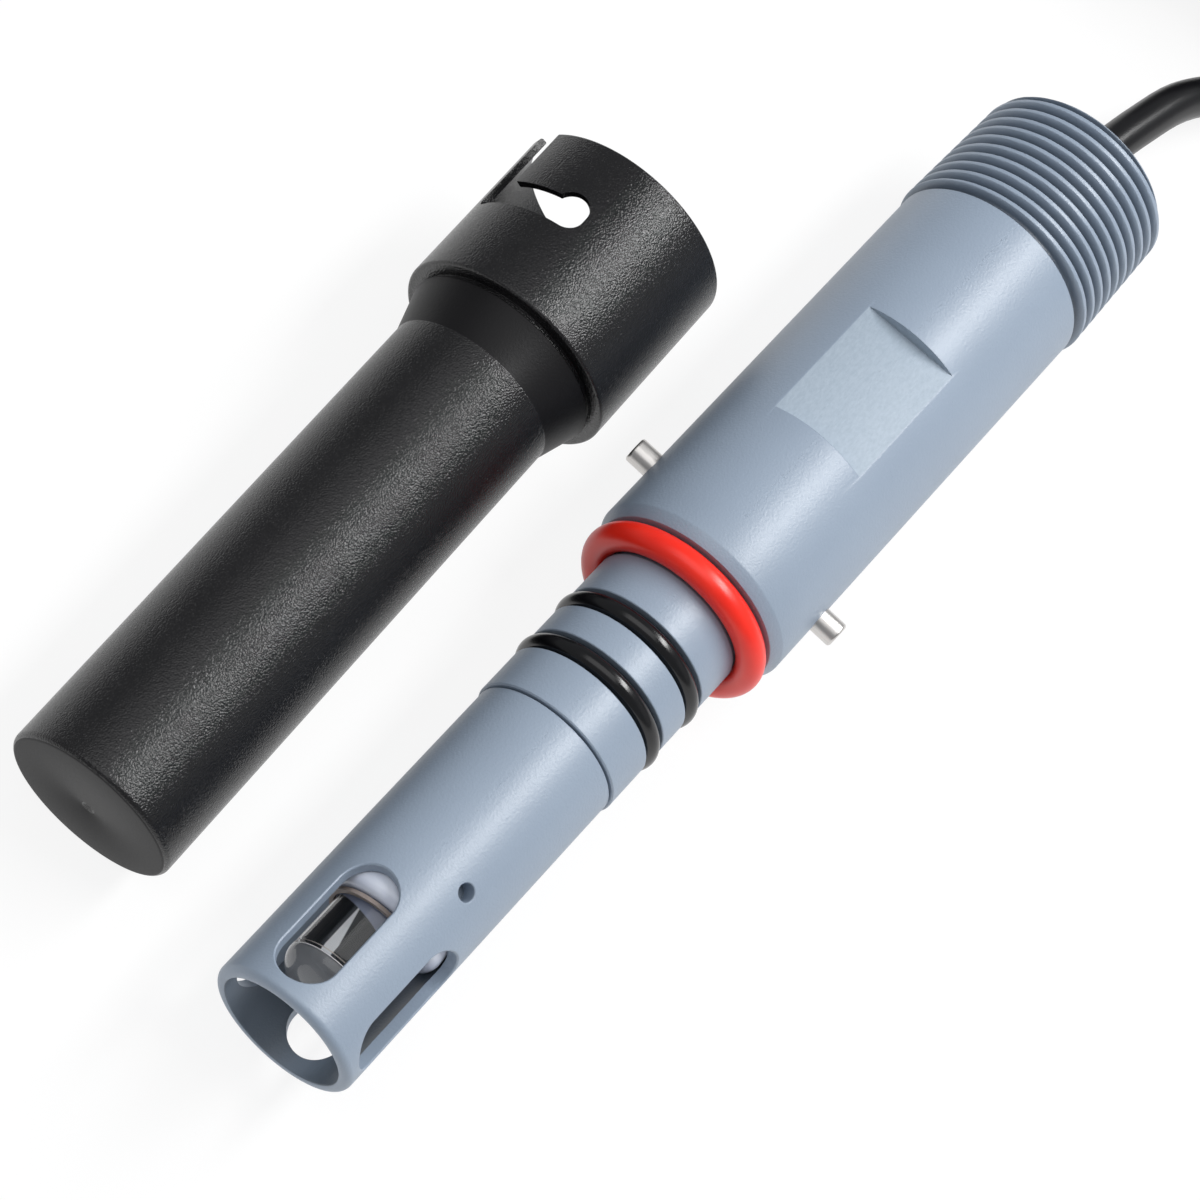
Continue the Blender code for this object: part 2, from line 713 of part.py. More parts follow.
def protective_cap(finish, parent):
    """Storage cap moulded in one piece, with two J-slots for the bayonet pins."""
    edge = CAP_EDGE_FILLET
    floor = CAP_FLOOR_FILLET
    lip = COLLAR_EDGE_FILLET
    cone_start = CONE_END_S - CONE_LENGTH
    seat_lead_r = CAP_BORE_R + SEAT_CONE_RISE
    profile = [(CAP_DIMPLE_DEPTH, 0.0), (0.0, CAP_DIMPLE_R)]
    profile += arc(edge, CAP_R - edge, edge, 180, 90, FILLET_STEPS)
    profile += [
        (cone_start, CAP_R),
        (CONE_END_S, CONE_R),
        (CONE_END_S, CONE_R - UNDERCUT_DEPTH),
        (COLLAR_S, CONE_R - UNDERCUT_DEPTH),
    ]
    profile += arc(COLLAR_S + lip, COLLAR_R - lip, lip, 180, 90, CORNER_STEPS)
    profile += [
        (CAP_LENGTH - MOUTH_CHAMFER, COLLAR_R),
        (CAP_LENGTH, COLLAR_R - MOUTH_CHAMFER),
        (CAP_LENGTH, COLLAR_BORE_R + MOUTH_CHAMFER),
        (CAP_LENGTH - MOUTH_CHAMFER, COLLAR_BORE_R),
        (CAP_SEAT_S, COLLAR_BORE_R),
        (CAP_SEAT_S, seat_lead_r),
        (CAP_SEAT_S - SEAT_CONE_LENGTH, CAP_BORE_R),
    ]
    profile += arc(CAP_END_WALL + floor, CAP_BORE_R - floor, floor, 90, 180, CORNER_STEPS)
    profile.append((CAP_END_WALL, 0.0))
    made = turned("protective_cap", profile, finish, parent, closed=False)
    for number in range(2):
        cut(made, j_cutter(f"j_cutter_{number}", math.pi * number, parent))
    return made


def cable_coil(finish, parent):
    """Outer shape of the coiled cable: a ring with rounded section."""
    bm = bmesh.new()
    corner = COIL_CORNER
    low = COIL_BASE + corner
    high = COIL_BASE + COIL_HEIGHT - corner
    near = COIL_R - COIL_WIDTH / 2 + corner
    far = COIL_OUTER_R - corner
    section = rounded_box(near, far, low, high, corner)
    verts = [bm.verts.new((r, 0.0, z)) for r, z in section]
    edges = [bm.edges.new(pair) for pair in zip(verts, verts[1:] + verts[:1])]
    bmesh.ops.spin(
        bm,
        geom=verts + edges,
        cent=(0, 0, 0),
        axis=(0, 0, 1),
        angle=math.tau,
        steps=RING_STEPS,
        use_merge=True,
    )
    bmesh.ops.remove_doubles(bm, verts=bm.verts, dist=1e-6)
    return add_object("cable_coil", finish_mesh(bm, "cable_coil"), finish, parent)


def cable_tie(finish, parent):
    """Strap round the coil's section, with its ends closed on each other."""
    sag = (TIE_WIDTH / 2) ** 2 / (2 * (COIL_R - COIL_WIDTH / 2))
    slack = CLEAR + sag
    near = COIL_R - COIL_WIDTH / 2 - slack
    far = COIL_OUTER_R + CLEAR
    low = COIL_BASE - CLEAR
    high = COIL_BASE + COIL_HEIGHT + CLEAR
    bm = bmesh.new()
    loops = []
    for grow in (0.0, TIE_THICKNESS):
        corner = COIL_CORNER + grow
        x0, x1 = near - grow + corner, far + grow - corner
        z0, z1 = low - grow + corner, high + grow - corner
        loop = rounded_box(x0, x1, z0, z1, corner)
        for y in (-TIE_WIDTH / 2, TIE_WIDTH / 2):
            loops.append([bm.verts.new((x, y, z)) for x, z in loop])
    inner_a, inner_b, outer_a, outer_b = loops
    count = len(inner_a)
    for first, second in (
        (inner_a, inner_b),
        (inner_b, outer_b),
        (outer_b, outer_a),
        (outer_a, inner_a),
    ):
        for index in range(count):
            after = (index + 1) % count
            bm.faces.new((first[index], first[after], second[after], second[index]))
    made = add_object("cable_tie", finish_mesh(bm, "cable_tie"), finish, parent)
    made.rotation_euler.z = TIE_ANGLE
    return made


def cable_end(sheath, signal_jacket, shield_jacket, tin, coil_centre):
    """Free end of the cable beside the coil: boot, two stripped leads and their pins."""
    height = CABLE_D / 2 + BOOT_WALL
    route = [coil_centre + Vector((x, y, height)) for x, y in TAIL_ROUTE]
    tube("cable_tail", smooth_route(route, CABLE_D * TAIL_STEP), CABLE_D, sheath, None)
    ahead = (route[-1] - route[-2]).normalized()
    aside = Vector((-ahead.y, ahead.x, 0.0))
    boot_r = CABLE_D / 2 + BOOT_WALL
    boot_start = route[-1] + ahead * CLEAR
    frame = bpy.data.objects.new("cable_end_frame", None)
    bpy.context.scene.collection.objects.link(frame)
    frame.location = boot_start
    frame.rotation_euler.z = math.atan2(ahead.y, ahead.x)
    profile = [
        (0.0, 0.0),
        (0.0, boot_r),
        (BOOT_LENGTH - BOOT_TAPER_LENGTH, boot_r),
        (BOOT_LENGTH, boot_r - BOOT_WALL),
        (BOOT_LENGTH, 0.0),
    ]
    turned("cable_end_boot", profile, sheath, frame, SMALL_STEPS, closed=False)
    lead_start = boot_start + ahead * (BOOT_LENGTH + CLEAR)
    for name, course, finish in (
        ("signal", SIGNAL_ROUTE, signal_jacket),
        ("shield", SHIELD_ROUTE, shield_jacket),
    ):
        drop = height - TERMINAL_D / 2
        reach = course[-1][0]
        points = []
        for forward, side in course:
            fall = drop * (1 - math.cos(math.pi * forward / reach)) / 2
            points.append(lead_start + ahead * forward + aside * side - Vector((0, 0, fall)))
        tube(f"{name}_lead", smooth_route(points, LEAD_D * CORD_STEP), LEAD_D, finish, None)
        way = points[-1] - points[-2]
        way.z = 0.0
        way.normalize()
        terminal = [
            (0.0, 0.0),
            (0.0, TERMINAL_D / 2),
            (TERMINAL_COLLAR_LENGTH, TERMINAL_D / 2),
            (TERMINAL_COLLAR_LENGTH + TERMINAL_TAPER_LENGTH, TERMINAL_PIN_D / 2),
            (TERMINAL_LENGTH, TERMINAL_PIN_D / 2),
            (TERMINAL_LENGTH, 0.0),
        ]
        made = turned(f"{name}_terminal", terminal, tin, None, SMALL_STEPS, closed=False)
        made.location = points[-1] + way * CLEAR
        made.rotation_euler.z = math.atan2(way.y, way.x)


def main():
    for old in list(bpy.data.objects):
        bpy.data.objects.remove(old, do_unlink=True)

    grey = material("grey_polymer", (0.33, 0.41, 0.50), 0.45)
    black = material("black_polymer", (0.016, 0.016, 0.018), 0.42)
    rubber = material("black_rubber", (0.012, 0.012, 0.013), 0.5)
    red = material("red_silicone", (0.80, 0.035, 0.012), 0.35)
    steel = material("polished_steel", (0.72, 0.70, 0.67), 0.18, 1.0)
    silver = material("silver_wire", (0.60, 0.58, 0.55), 0.35, 1.0)
    glass = material("clear_glass", (0.80, 0.84, 0.88), 0.03)
    white = material("white_junction", (0.62, 0.67, 0.82), 0.22)
    amber = material("amber_seal", (0.50, 0.33, 0.17), 0.4)
    resin = material("potting_resin", (0.03, 0.03, 0.035), 0.3)
    sheath = material("cable_sheath", (0.010, 0.010, 0.011), 0.45)
    strap = material("strap_nylon", (0.05, 0.05, 0.055), 0.6)
    signal_jacket = material("signal_insulation", (0.75, 0.75, 0.72), 0.4)
    shield_jacket = material("shield_insulation", (0.02, 0.02, 0.022), 0.45)
    tin = material("tinned_copper", (0.66, 0.65, 0.63), 0.3, 1.0)

    axis = bpy.data.objects.new("electrode_axis", None)
    bpy.context.scene.collection.objects.link(axis)
    axis.location = (-ORIGIN_X, -ORIGIN_Y, THREAD_R)
    cap_axis = bpy.data.objects.new("cap_axis", None)
    bpy.context.scene.collection.objects.link(cap_axis)
    cap_axis.location = (CAP_FRONT_GAP - ORIGIN_X, CAP_SPACING - ORIGIN_Y, CAP_HEIGHT)
    cap_axis.rotation_euler = (0.0, -CAP_LEAN, CAP_YAW)

    housing(grey, axis)
    guard(grey, axis)
    for number, name in enumerate(("o_ring_front", "o_ring_rear")):
        front = GUARD_LENGTH + GROOVE_SETBACK + GROOVE_PITCH * number
        ring(name, front + GROOVE_WIDTH / 2, O_RING_R, O_RING_D / 2, O_RING_SIDES, rubber, axis)
    ring("face_seal", SEAL_X, SEAL_R, SEAL_D / 2, SEAL_SIDES, red, axis, TURN_STEPS)
    bayonet_pin("bayonet_pin_left", 0.0, steel, axis)
    bayonet_pin("bayonet_pin_right", math.pi, steel, axis)

    glass_electrode(glass, axis)
    junction(white, axis)
    seal_inner = GLASS_R + CLEAR
    seal_outer = seal_inner + GLASS_SEAL_WALL
    seal_rear = JUNCTION_FRONT_X - CLEAR
    seal_front = seal_rear - GLASS_SEAL_LENGTH
    sleeve("glass_seal", seal_front, seal_rear, seal_inner, seal_outer, amber, axis)
    stopper_front = GLASS_REAR_X - STOPPER_LENGTH
    stopper_r = GLASS_R - GLASS_WALL - CLEAR
    sleeve(
        "glass_stopper", stopper_front, GLASS_REAR_X, ELEMENT_HOLE_R, stopper_r, rubber, axis
    )
    measuring_element(silver, axis)
    reference_element(silver, axis)
    bulkhead(resin, axis)
    potting(resin, axis)
    protective_cap(black, cap_axis)

    rear = Vector((REAR_X - ORIGIN_X, -ORIGIN_Y, 0.0))
    route = [rear + Vector(point) for point in CABLE_ROUTE]
    tube("cable", smooth_route(route, CABLE_D * CORD_STEP), CABLE_D, sheath, None, sides=3)
    ahead = route[-1] - route[-2]
    ahead.z = 0.0
    ahead.normalize()
    left = Vector((-ahead.y, ahead.x, 0.0))
    inner_side = COIL_LANE_R - CABLE_D / 2
    run = math.sqrt((COIL_OUTER_R + CLEAR) ** 2 - inner_side**2)
    coil_centre = route[-1] + ahead * run + left * COIL_LANE_R
    coil_centre.z = 0.0
    coil = bpy.data.objects.new("coil_centre", None)
    bpy.context.scene.collection.objects.link(coil)
    coil.location = coil_centre
    cable_coil(sheath, coil)
    cable_tie(strap, coil)
    cable_end(sheath, signal_jacket, shield_jacket, tin, coil_centre)


main()
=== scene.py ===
"""Looks of the quick-release pH electrode and its cap: finishes, fine shapes, cable and light."""

import math

import bmesh
import bpy
from mathutils import Matrix, Vector

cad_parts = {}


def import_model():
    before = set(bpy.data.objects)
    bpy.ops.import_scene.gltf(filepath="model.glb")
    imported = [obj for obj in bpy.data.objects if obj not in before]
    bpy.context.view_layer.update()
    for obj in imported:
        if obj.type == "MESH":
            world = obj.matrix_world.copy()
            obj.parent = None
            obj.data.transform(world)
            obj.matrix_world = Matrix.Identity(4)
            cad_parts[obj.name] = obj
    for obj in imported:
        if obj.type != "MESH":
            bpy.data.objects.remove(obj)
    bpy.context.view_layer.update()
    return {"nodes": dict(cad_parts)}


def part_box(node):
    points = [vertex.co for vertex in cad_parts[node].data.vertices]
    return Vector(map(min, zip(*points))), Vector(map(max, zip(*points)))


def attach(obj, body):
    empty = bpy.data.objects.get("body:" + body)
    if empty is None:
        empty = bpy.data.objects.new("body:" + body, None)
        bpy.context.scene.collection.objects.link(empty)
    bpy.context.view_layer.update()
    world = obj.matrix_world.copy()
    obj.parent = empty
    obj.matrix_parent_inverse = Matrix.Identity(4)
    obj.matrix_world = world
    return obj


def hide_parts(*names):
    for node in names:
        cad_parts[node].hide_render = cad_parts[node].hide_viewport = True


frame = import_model()

# Places taken from the frame: the electrode's axis, its front rim and its rear face
HOUSING_LOW, HOUSING_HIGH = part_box("housing")
FRONT_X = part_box("guard")[0][0]
REAR_X = HOUSING_HIGH[0]
LENGTH = REAR_X - FRONT_X
AXIS_Y = (HOUSING_LOW[1] + HOUSING_HIGH[1]) / 2
AXIS_Z = (HOUSING_LOW[2] + HOUSING_HIGH[2]) / 2
AXIS = Matrix.Translation((FRONT_X, AXIS_Y, AXIS_Z))

# Camera, from the electrode's front rim centre
CAMERA_PLACE = Vector((-0.1899, -0.0465, 0.5331))
CAMERA_FORWARD = Vector((0.4510, 0.0919, -0.8878))
CAMERA_RIGHT = Vector((0.6120, -0.7558, 0.2327))
CAMERA_VIEW = math.radians(16.31)

# Lights: name, place from the lit place, size and watts
LIT_PLACE = Vector((0.0, 0.0, 0.015))
LIGHTS = (
    ("key_strip", (0.45, -0.385, 0.806), (0.85, 0.19), 9.3),
    ("top_fill", (-0.22, 0.18, 1.05), (0.95, 0.95), 3.2),
    ("side_panel", (0.25, -1.05, 0.42), (0.9, 0.6), 0.3),
)
WORLD_STRENGTH = 0.30
BENCH_DROP = 0.0002
BENCH_GLOW = 0.87

# Clearance and facets
CLEAR = 0.0003
FINE = 192
MEDIUM = 96

# Guard
GUARD_LENGTH = 0.0571
GUARD_R = 0.01178
GUARD_BORE_R = 0.00995
GUARD_RIM_FILLET = 0.0012
GUARD_BORE_FILLET = 0.0003
JUNCTION_SEAT_X = 0.0265
SPIGOT_R = 0.0099
SPIGOT_LENGTH = 0.0054
CHAMBER_R = 0.0082
SLOT_COUNT = 4
SLOT_WIDTH = 0.0091
SLOT_FRONT_X = 0.0026
SLOT_REAR_X = 0.0234
SLOT_ANGLE = math.radians(17.8)
SLOT_CHAMFER = 0.00022
VENT_X = 0.0290
VENT_D = 0.0027
VENT_DEPTH = 0.0026
VENT_ANGLE = math.radians(-33.4)

# Housing
NOSE_X = GUARD_LENGTH + CLEAR
NOSE_R = 0.01216
SHOULDER_X = 0.0899
BODY_R = 0.0165
THREAD_X = 0.1658
THREAD_R = 0.0171
THREAD_TAPER = 1 / 32
THREAD_PITCH = 0.0254 / 11
THREAD_DEPTH = 0.00146
THREAD_RELIEF_R = 0.0156
THREAD_RELIEF_WIDTH = 0.0006
THREAD_ROWS = 20
THREAD_END_CHAMFER = 0.0012
THREAD_ROOT = 0.08
THREAD_FLANK = 0.64
THREAD_ONSET = 0.35
# Colour of the painted shade laid into the thread grooves
THREAD_PAINTED_SHADE = (0.055, 0.075, 0.105, 1.0)
END_FACE_DEPTH = 0.0004
GROOVE_X = 0.0652
GROOVE_PITCH = 0.00905
GROOVE_WIDTH = 0.0038
EDGE = 0.00012
SEAL_SEAT_R = 0.01145
SEAL_D = 0.0044
SEAL_R = SEAL_SEAT_R + CLEAR + SEAL_D / 2
SEAL_X = SHOULDER_X - 0.0004 - SEAL_D / 2
SHOULDER_R = 0.01545
SHOULDER_CHAMFER_X = 0.0916
FLAT_X = 0.1158
FLAT_LENGTH = 0.02325
FLAT_ACROSS = 0.02892
CAVITY_X = 0.1120
CAVITY_R = 0.0115
O_RING_D = 0.0030
O_RING_R = NOSE_R + 0.00052 - O_RING_D / 2
GROOVE_R = O_RING_R - O_RING_D / 2 - CLEAR

# Bayonet pins
PIN_X = 0.1025
PIN_D = 0.0041
PIN_REACH = 0.02015
PIN_FOOT = 0.0110
PIN_FILLET = 0.00045
PIN_ROLL = math.radians(4.75)

# Glass and junction
GLASS_R = 0.0070
GLASS_WALL = 0.0011
GLASS_TIP_X = 0.0064
GLASS_SHOULDER_X = 0.0102
GLASS_BEAD_R = 0.0071
GLASS_REAR_X = 0.1080
DOME_FULLNESS = 0.75
GEL_X = 0.0104
GEL_R = 0.0059
GEL_FILLET = 0.0003
GEL_BORE_X = 0.0176
GEL_REAR_X = 0.0330
ELEMENT_BORE_R = 0.0013
# Painted light on the dark core behind the glass: a highlight streak, a highlight line at the rim, a
# highlight line round the shoulder and a reflection band at the rear
STREAK_LOW = math.radians(16.5)
STREAK_HIGH = math.radians(31.0)
STREAK_TAPER_X = 0.0125
STREAK_END_X = 0.0192
REAR_BAND_X = 0.0177
STREAK_EDGE = 0.03
RIM_ANGLE = math.radians(81.0)
RIM_HALF_WIDTH = math.radians(3.0)
SHOULDER_LINE_X = 0.00035
SHOULDER_LINE_HALF = 0.00016
REAR_BAND_SLANT = 0.0018
FADE_START = 0.0001
FADE_LENGTH = 0.0002
PAINTED_HIGHLIGHT = (0.95, 0.96, 0.97)
GLASS_BEAD = (
    (0.00015, 0.00002),
    (0.00030, -0.00022),
    (0.00045, -0.00004),
    (0.00060, 0.00008),
    (0.00075, -0.00002),
    (0.00090, -0.00020),
    (0.00110, -0.00004),
    (0.00130, 0.0),
)
JUNCTION_X = 0.0206
JUNCTION_LENGTH = 0.0056
JUNCTION_FILLET = 0.0018

# Protective cap
CAP_LENGTH = 0.1226
CAP_R = NOSE_R + 0.0003 + 0.0014
CAP_BORE_R = NOSE_R + 0.0003
CAP_EDGE_FILLET = 0.0010
CAP_END_WALL = 0.0016
CONE_START_S = 0.0855
CONE_END_S = 0.0927
CONE_R = CAP_R + 0.00214
UNDERCUT_DEPTH = 0.0006
COLLAR_S = 0.0936
COLLAR_BORE_R = BODY_R + 0.00025
COLLAR_R = COLLAR_BORE_R + 0.0011
COLLAR_FILLET = 0.0005
CAP_SEAT_S = 0.09485
POCKET_S = 0.1103
POCKET_R = 0.0029
LEG_S = POCKET_S - 0.0010
POCKET_ANGLE = math.radians(15.5)
ENTRY_ANGLE = math.radians(62.0)
J_WIDTH = PIN_D + 0.0007
CAP_FRONT_GAP = 0.0072
CAP_SPACING = 0.0407
CAP_YAW = math.radians(1.82)
PARTING_ANGLE = math.radians(-22.8)
SEAM_WIDTH = 0.00007
SEAM_HEIGHT = 0.00008
CAP_MOUTH_FILLET = 0.0004
CAP_FLOOR_FILLET = 0.0012
CAP_LEAD_IN = 0.0034
CAP_LEAD_IN_RISE = 0.0008
J_CORNER = 0.0016
J_ENTRY_FILLET = 0.0005

# Cable
CABLE_D = 0.0065
COIL_MEAN_D = 0.0732
COIL_COLUMNS = 4
COIL_LAYERS = 3
COIL_BASE = 0.0015
COIL_OUTER_R = COIL_MEAN_D / 2 + COIL_COLUMNS * CABLE_D / 2
COIL_LANE_R = COIL_OUTER_R - CABLE_D / 2
SPAN_POINTS = 4
TURN_POINTS = 24
FREE_TURN = 11.31
LANE_SHIFT = 0.2
CABLE_ROUTE = (
    (-0.0265, 0.0000, 0.01710),
    (-0.0180, 0.0000, 0.01710),
    (-0.0090, 0.0000, 0.01710),
    (-0.0010, 0.0000, 0.01708),
    (0.0085, -0.0006, 0.01615),
    (0.0175, -0.0018, 0.01480),
    (0.0270, -0.0036, 0.01270),
    (0.0370, -0.0074, 0.00850),
    (0.0480, -0.0133, 0.00500),
    (0.0617, -0.0198, 0.00475),
)
TAIL_ROUTE = (
    (0.00926, -0.05249),
    (0.02278, -0.04885),
    (0.03535, -0.04213),
    (0.04600, -0.03215),
    (0.05320, -0.01965),
)
BOOT_WALL = 0.0008


def link(made):
    bpy.context.scene.collection.objects.link(made)
    return made


def arc(x, r, radius, start, end, steps):
    """Points of a round corner about (x, r), angles in degrees from +x toward +r."""
    points = []
    for step in range(steps + 1):
        angle = math.radians(start + (end - start) * step / steps)
        points.append((x + radius * math.cos(angle), r + radius * math.sin(angle)))
    return points


def smoothstep(low, high, value):
    share = min(1.0, max(0.0, (value - low) / (high - low)))
    return share * share * (3 - 2 * share)


# Node helpers

MIX_UNDER = 6
MIX_OVER = 7
MIX_COLOUR = 2


def new_material(name):
    """Empty Principled material: its tree, shader and a node maker."""
    made = bpy.data.materials.new(name)
    made.use_nodes = True
    tree = made.node_tree
    shader = tree.nodes["Principled BSDF"]

    def node(kind, **settings):
        item = tree.nodes.new(kind)
        for key, value in settings.items():
            setattr(item, key, value)
        return item

    return made, tree, shader, node


def object_coordinates(tree, node, scale):
    """Object coordinates scaled per axis."""
    place = node("ShaderNodeTexCoord")
    mapping = node("ShaderNodeMapping")
    mapping.inputs["Scale"].default_value = scale
    tree.links.new(place.outputs["Object"], mapping.inputs["Vector"])
    return mapping.outputs["Vector"]


def noise(tree, node, vector, scale, detail=2.0, roughness=0.5):
    made = node("ShaderNodeTexNoise")
    made.inputs["Scale"].default_value = scale
    made.inputs["Detail"].default_value = detail
    made.inputs["Roughness"].default_value = roughness
    tree.links.new(vector, made.inputs["Vector"])
    return made.outputs["Fac"]


def ramp(tree, node, factor, low, high, start=0.3, end=0.7):
    """Two colours over a factor."""
    made = node("ShaderNodeValToRGB")
    made.color_ramp.elements[0].position = start
    made.color_ramp.elements[1].position = end
    made.color_ramp.elements[0].color = (*low, 1.0)
    made.color_ramp.elements[1].color = (*high, 1.0)
    tree.links.new(factor, made.inputs["Fac"])
    return made.outputs["Color"]


def spread(tree, node, factor, low, high):
    """Factor mapped onto a range of numbers."""
    made = node("ShaderNodeMapRange")
    made.inputs["To Min"].default_value = low
    made.inputs["To Max"].default_value = high
    tree.links.new(factor, made.inputs["Value"])
    return made.outputs["Result"]


def maths(tree, node, operation, *values):
    """One sum on its values, each a number or a socket."""
    step = node("ShaderNodeMath", operation=operation)
    for socket, value in zip(step.inputs, values):
        if isinstance(value, float):
            socket.default_value = value
        else:
            tree.links.new(value, socket)
    return step.outputs["Value"]


def bump(tree, node, shader, heights, edge=0.0):
    """Chain of bumps, each (height, distance, strength), over edges softened by a radius."""
    normal = None
    if edge:
        soft = node("ShaderNodeBevel", samples=4)
        soft.inputs["Radius"].default_value = edge
        normal = soft.outputs["Normal"]
    for height, distance, strength in heights:
        made = node("ShaderNodeBump")
        made.inputs["Distance"].default_value = distance
        made.inputs["Strength"].default_value = strength
        tree.links.new(height, made.inputs["Height"])
        if normal:
            tree.links.new(normal, made.inputs["Normal"])
        normal = made.outputs["Normal"]
    tree.links.new(normal, shader.inputs["Normal"])


# Materials


def place_parts(tree, node):
    """The three parts of a place on the piece."""
    place = node("ShaderNodeTexCoord")
    parts = node("ShaderNodeSeparateXYZ")
    tree.links.new(place.outputs["Object"], parts.inputs["Vector"])
    return parts.outputs["X"], parts.outputs["Y"], parts.outputs["Z"]


def painted_groove_shade(tree, node):
    """Mask of painted shade in the thread grooves: how deep a place lies in the thread, from 0 on
    the crests to 1 at the root.
    """
    x, y, z = place_parts(tree, node)
    square = maths(tree, node, "MULTIPLY", y, y)
    sum_of_squares = maths(tree, node, "ADD", square, maths(tree, node, "MULTIPLY", z, z))
    radius = maths(tree, node, "SQRT", sum_of_squares)
    fall = maths(tree, node, "MULTIPLY", maths(tree, node, "SUBTRACT", x, THREAD_X), THREAD_TAPER)
    crest = maths(tree, node, "SUBTRACT", THREAD_R, fall)
    depth = maths(tree, node, "SUBTRACT", crest, radius)
    share = maths(tree, node, "DIVIDE", depth, THREAD_DEPTH)
    share = maths(tree, node, "MINIMUM", maths(tree, node, "MAXIMUM", share, 0.0), 1.0)
    behind = maths(tree, node, "GREATER_THAN", x, THREAD_X)
    ahead = maths(tree, node, "LESS_THAN", x, LENGTH - END_FACE_DEPTH)
    return maths(tree, node, "MULTIPLY", maths(tree, node, "MULTIPLY", share, behind), ahead)


def machined_polymer(name, low, high, rough):
    """Grey-blue polymer turned on a lathe, with painted shade in its thread grooves: faint rings and
    fine grain.
    """
    made, tree, shader, node = new_material(name)
    rings = noise(tree, node, object_coordinates(tree, node, (4200, 30, 30)), 1.0, 3.0)
    grain = noise(tree, node, object_coordinates(tree, node, (2600, 2600, 2600)), 1.0, 2.0)
    cloud = noise(tree, node, object_coordinates(tree, node, (60, 60, 60)), 1.0, 2.0)
    mix = node("ShaderNodeMix", data_type="RGBA")
    # Painted shade: the thread grooves darken toward their roots
    tree.links.new(painted_groove_shade(tree, node), mix.inputs["Factor"])
    tree.links.new(ramp(tree, node, cloud, low, high), mix.inputs[MIX_UNDER])
    mix.inputs[MIX_OVER].default_value = THREAD_PAINTED_SHADE
    tree.links.new(mix.outputs[MIX_COLOUR], shader.inputs["Base Color"])
    tree.links.new(spread(tree, node, grain, *rough), shader.inputs["Roughness"])
    shader.inputs["IOR"].default_value = 1.7
    bump(tree, node, shader, [(rings, 0.00001, 0.3), (grain, 0.00009, 0.5)], 0.00022)
    return made


def milled_polymer_painted_light():
    """The same polymer on the wrench flat: a short fibrous grain from the milling cutter, and a
    lighter base colour that is painted light on this upward face.
    """
    made, tree, shader, node = new_material("milled_polymer_painted_light")
    grain = noise(tree, node, object_coordinates(tree, node, (1300, 2800, 2800)), 1.0, 3.0, 0.6)
    cloud = noise(tree, node, object_coordinates(tree, node, (220, 220, 220)), 1.0, 2.0)
    # Painted light: a lighter base colour than the body's, for the upward-facing flat
    base = ramp(tree, node, grain, (0.320, 0.388, 0.462), (0.380, 0.450, 0.526))
    tree.links.new(base, shader.inputs["Base Color"])
    tree.links.new(spread(tree, node, cloud, 0.50, 0.62), shader.inputs["Roughness"])
    bump(tree, node, shader, [(grain, 0.00005, 0.6)], 0.00018)
    return made


def seam(tree, node):
    """Thin flash line along the collar, where the mould's halves met."""
    x, y, z = place_parts(tree, node)
    across = maths(tree, node, "MULTIPLY", y, math.cos(PARTING_ANGLE))
    along = maths(tree, node, "MULTIPLY", z, math.sin(PARTING_ANGLE))
    gap = maths(tree, node, "SUBTRACT", across, along)
    offset = maths(tree, node, "ABSOLUTE", gap)
    line = maths(tree, node, "LESS_THAN", offset, SEAM_WIDTH)
    upper = maths(tree, node, "GREATER_THAN", z, 0.0)
    collar = maths(tree, node, "GREATER_THAN", x, COLLAR_S)
    return maths(tree, node, "MULTIPLY", maths(tree, node, "MULTIPLY", line, upper), collar)


def moulded_black(name, scale, depth, rough, ior, seamed):
    """Black moulding with a fine spark-eroded grain."""
    made, tree, shader, node = new_material(name)
    grain = noise(tree, node, object_coordinates(tree, node, (scale,) * 3), 1.0, 1.0, 0.5)
    cloud = noise(tree, node, object_coordinates(tree, node, (90, 90, 90)), 1.0, 2.0)
    base = ramp(tree, node, cloud, (0.0048, 0.0046, 0.0054), (0.0066, 0.0063, 0.0072))
    tree.links.new(base, shader.inputs["Base Color"])
    tree.links.new(spread(tree, node, grain, *rough), shader.inputs["Roughness"])
    shader.inputs["IOR"].default_value = ior
    heights = [(grain, depth, 0.6)]
    if seamed:
        heights.append((seam(tree, node), SEAM_HEIGHT, 1.0))
    bump(tree, node, shader, heights, 0.00015)
    return made


def rubber(name, low, high, rough, depth=0.00001):
    """Seal rubber or silicone with a slight bloom."""
    made, tree, shader, node = new_material(name)
    grain = noise(tree, node, object_coordinates(tree, node, (4000, 4000, 4000)), 1.0, 2.0)
    cloud = noise(tree, node, object_coordinates(tree, node, (160, 160, 160)), 1.0, 2.0)
    tree.links.new(ramp(tree, node, cloud, low, high), shader.inputs["Base Color"])
    tree.links.new(spread(tree, node, grain, *rough), shader.inputs["Roughness"])
    bump(tree, node, shader, [(grain, depth, 0.3)])
    return made


def metal(name, low, high, rough, stretch=(900, 6000, 6000)):
    """Drawn or turned metal with fine lines."""
    made, tree, shader, node = new_material(name)
    lines = noise(tree, node, object_coordinates(tree, node, stretch), 1.0, 3.0)
    tree.links.new(ramp(tree, node, lines, low, high), shader.inputs["Base Color"])
    tree.links.new(spread(tree, node, lines, *rough), shader.inputs["Roughness"])
    shader.inputs["Metallic"].default_value = 1.0
    bump(tree, node, shader, [(lines, 0.000001, 0.3)], 0.0001)
    return made


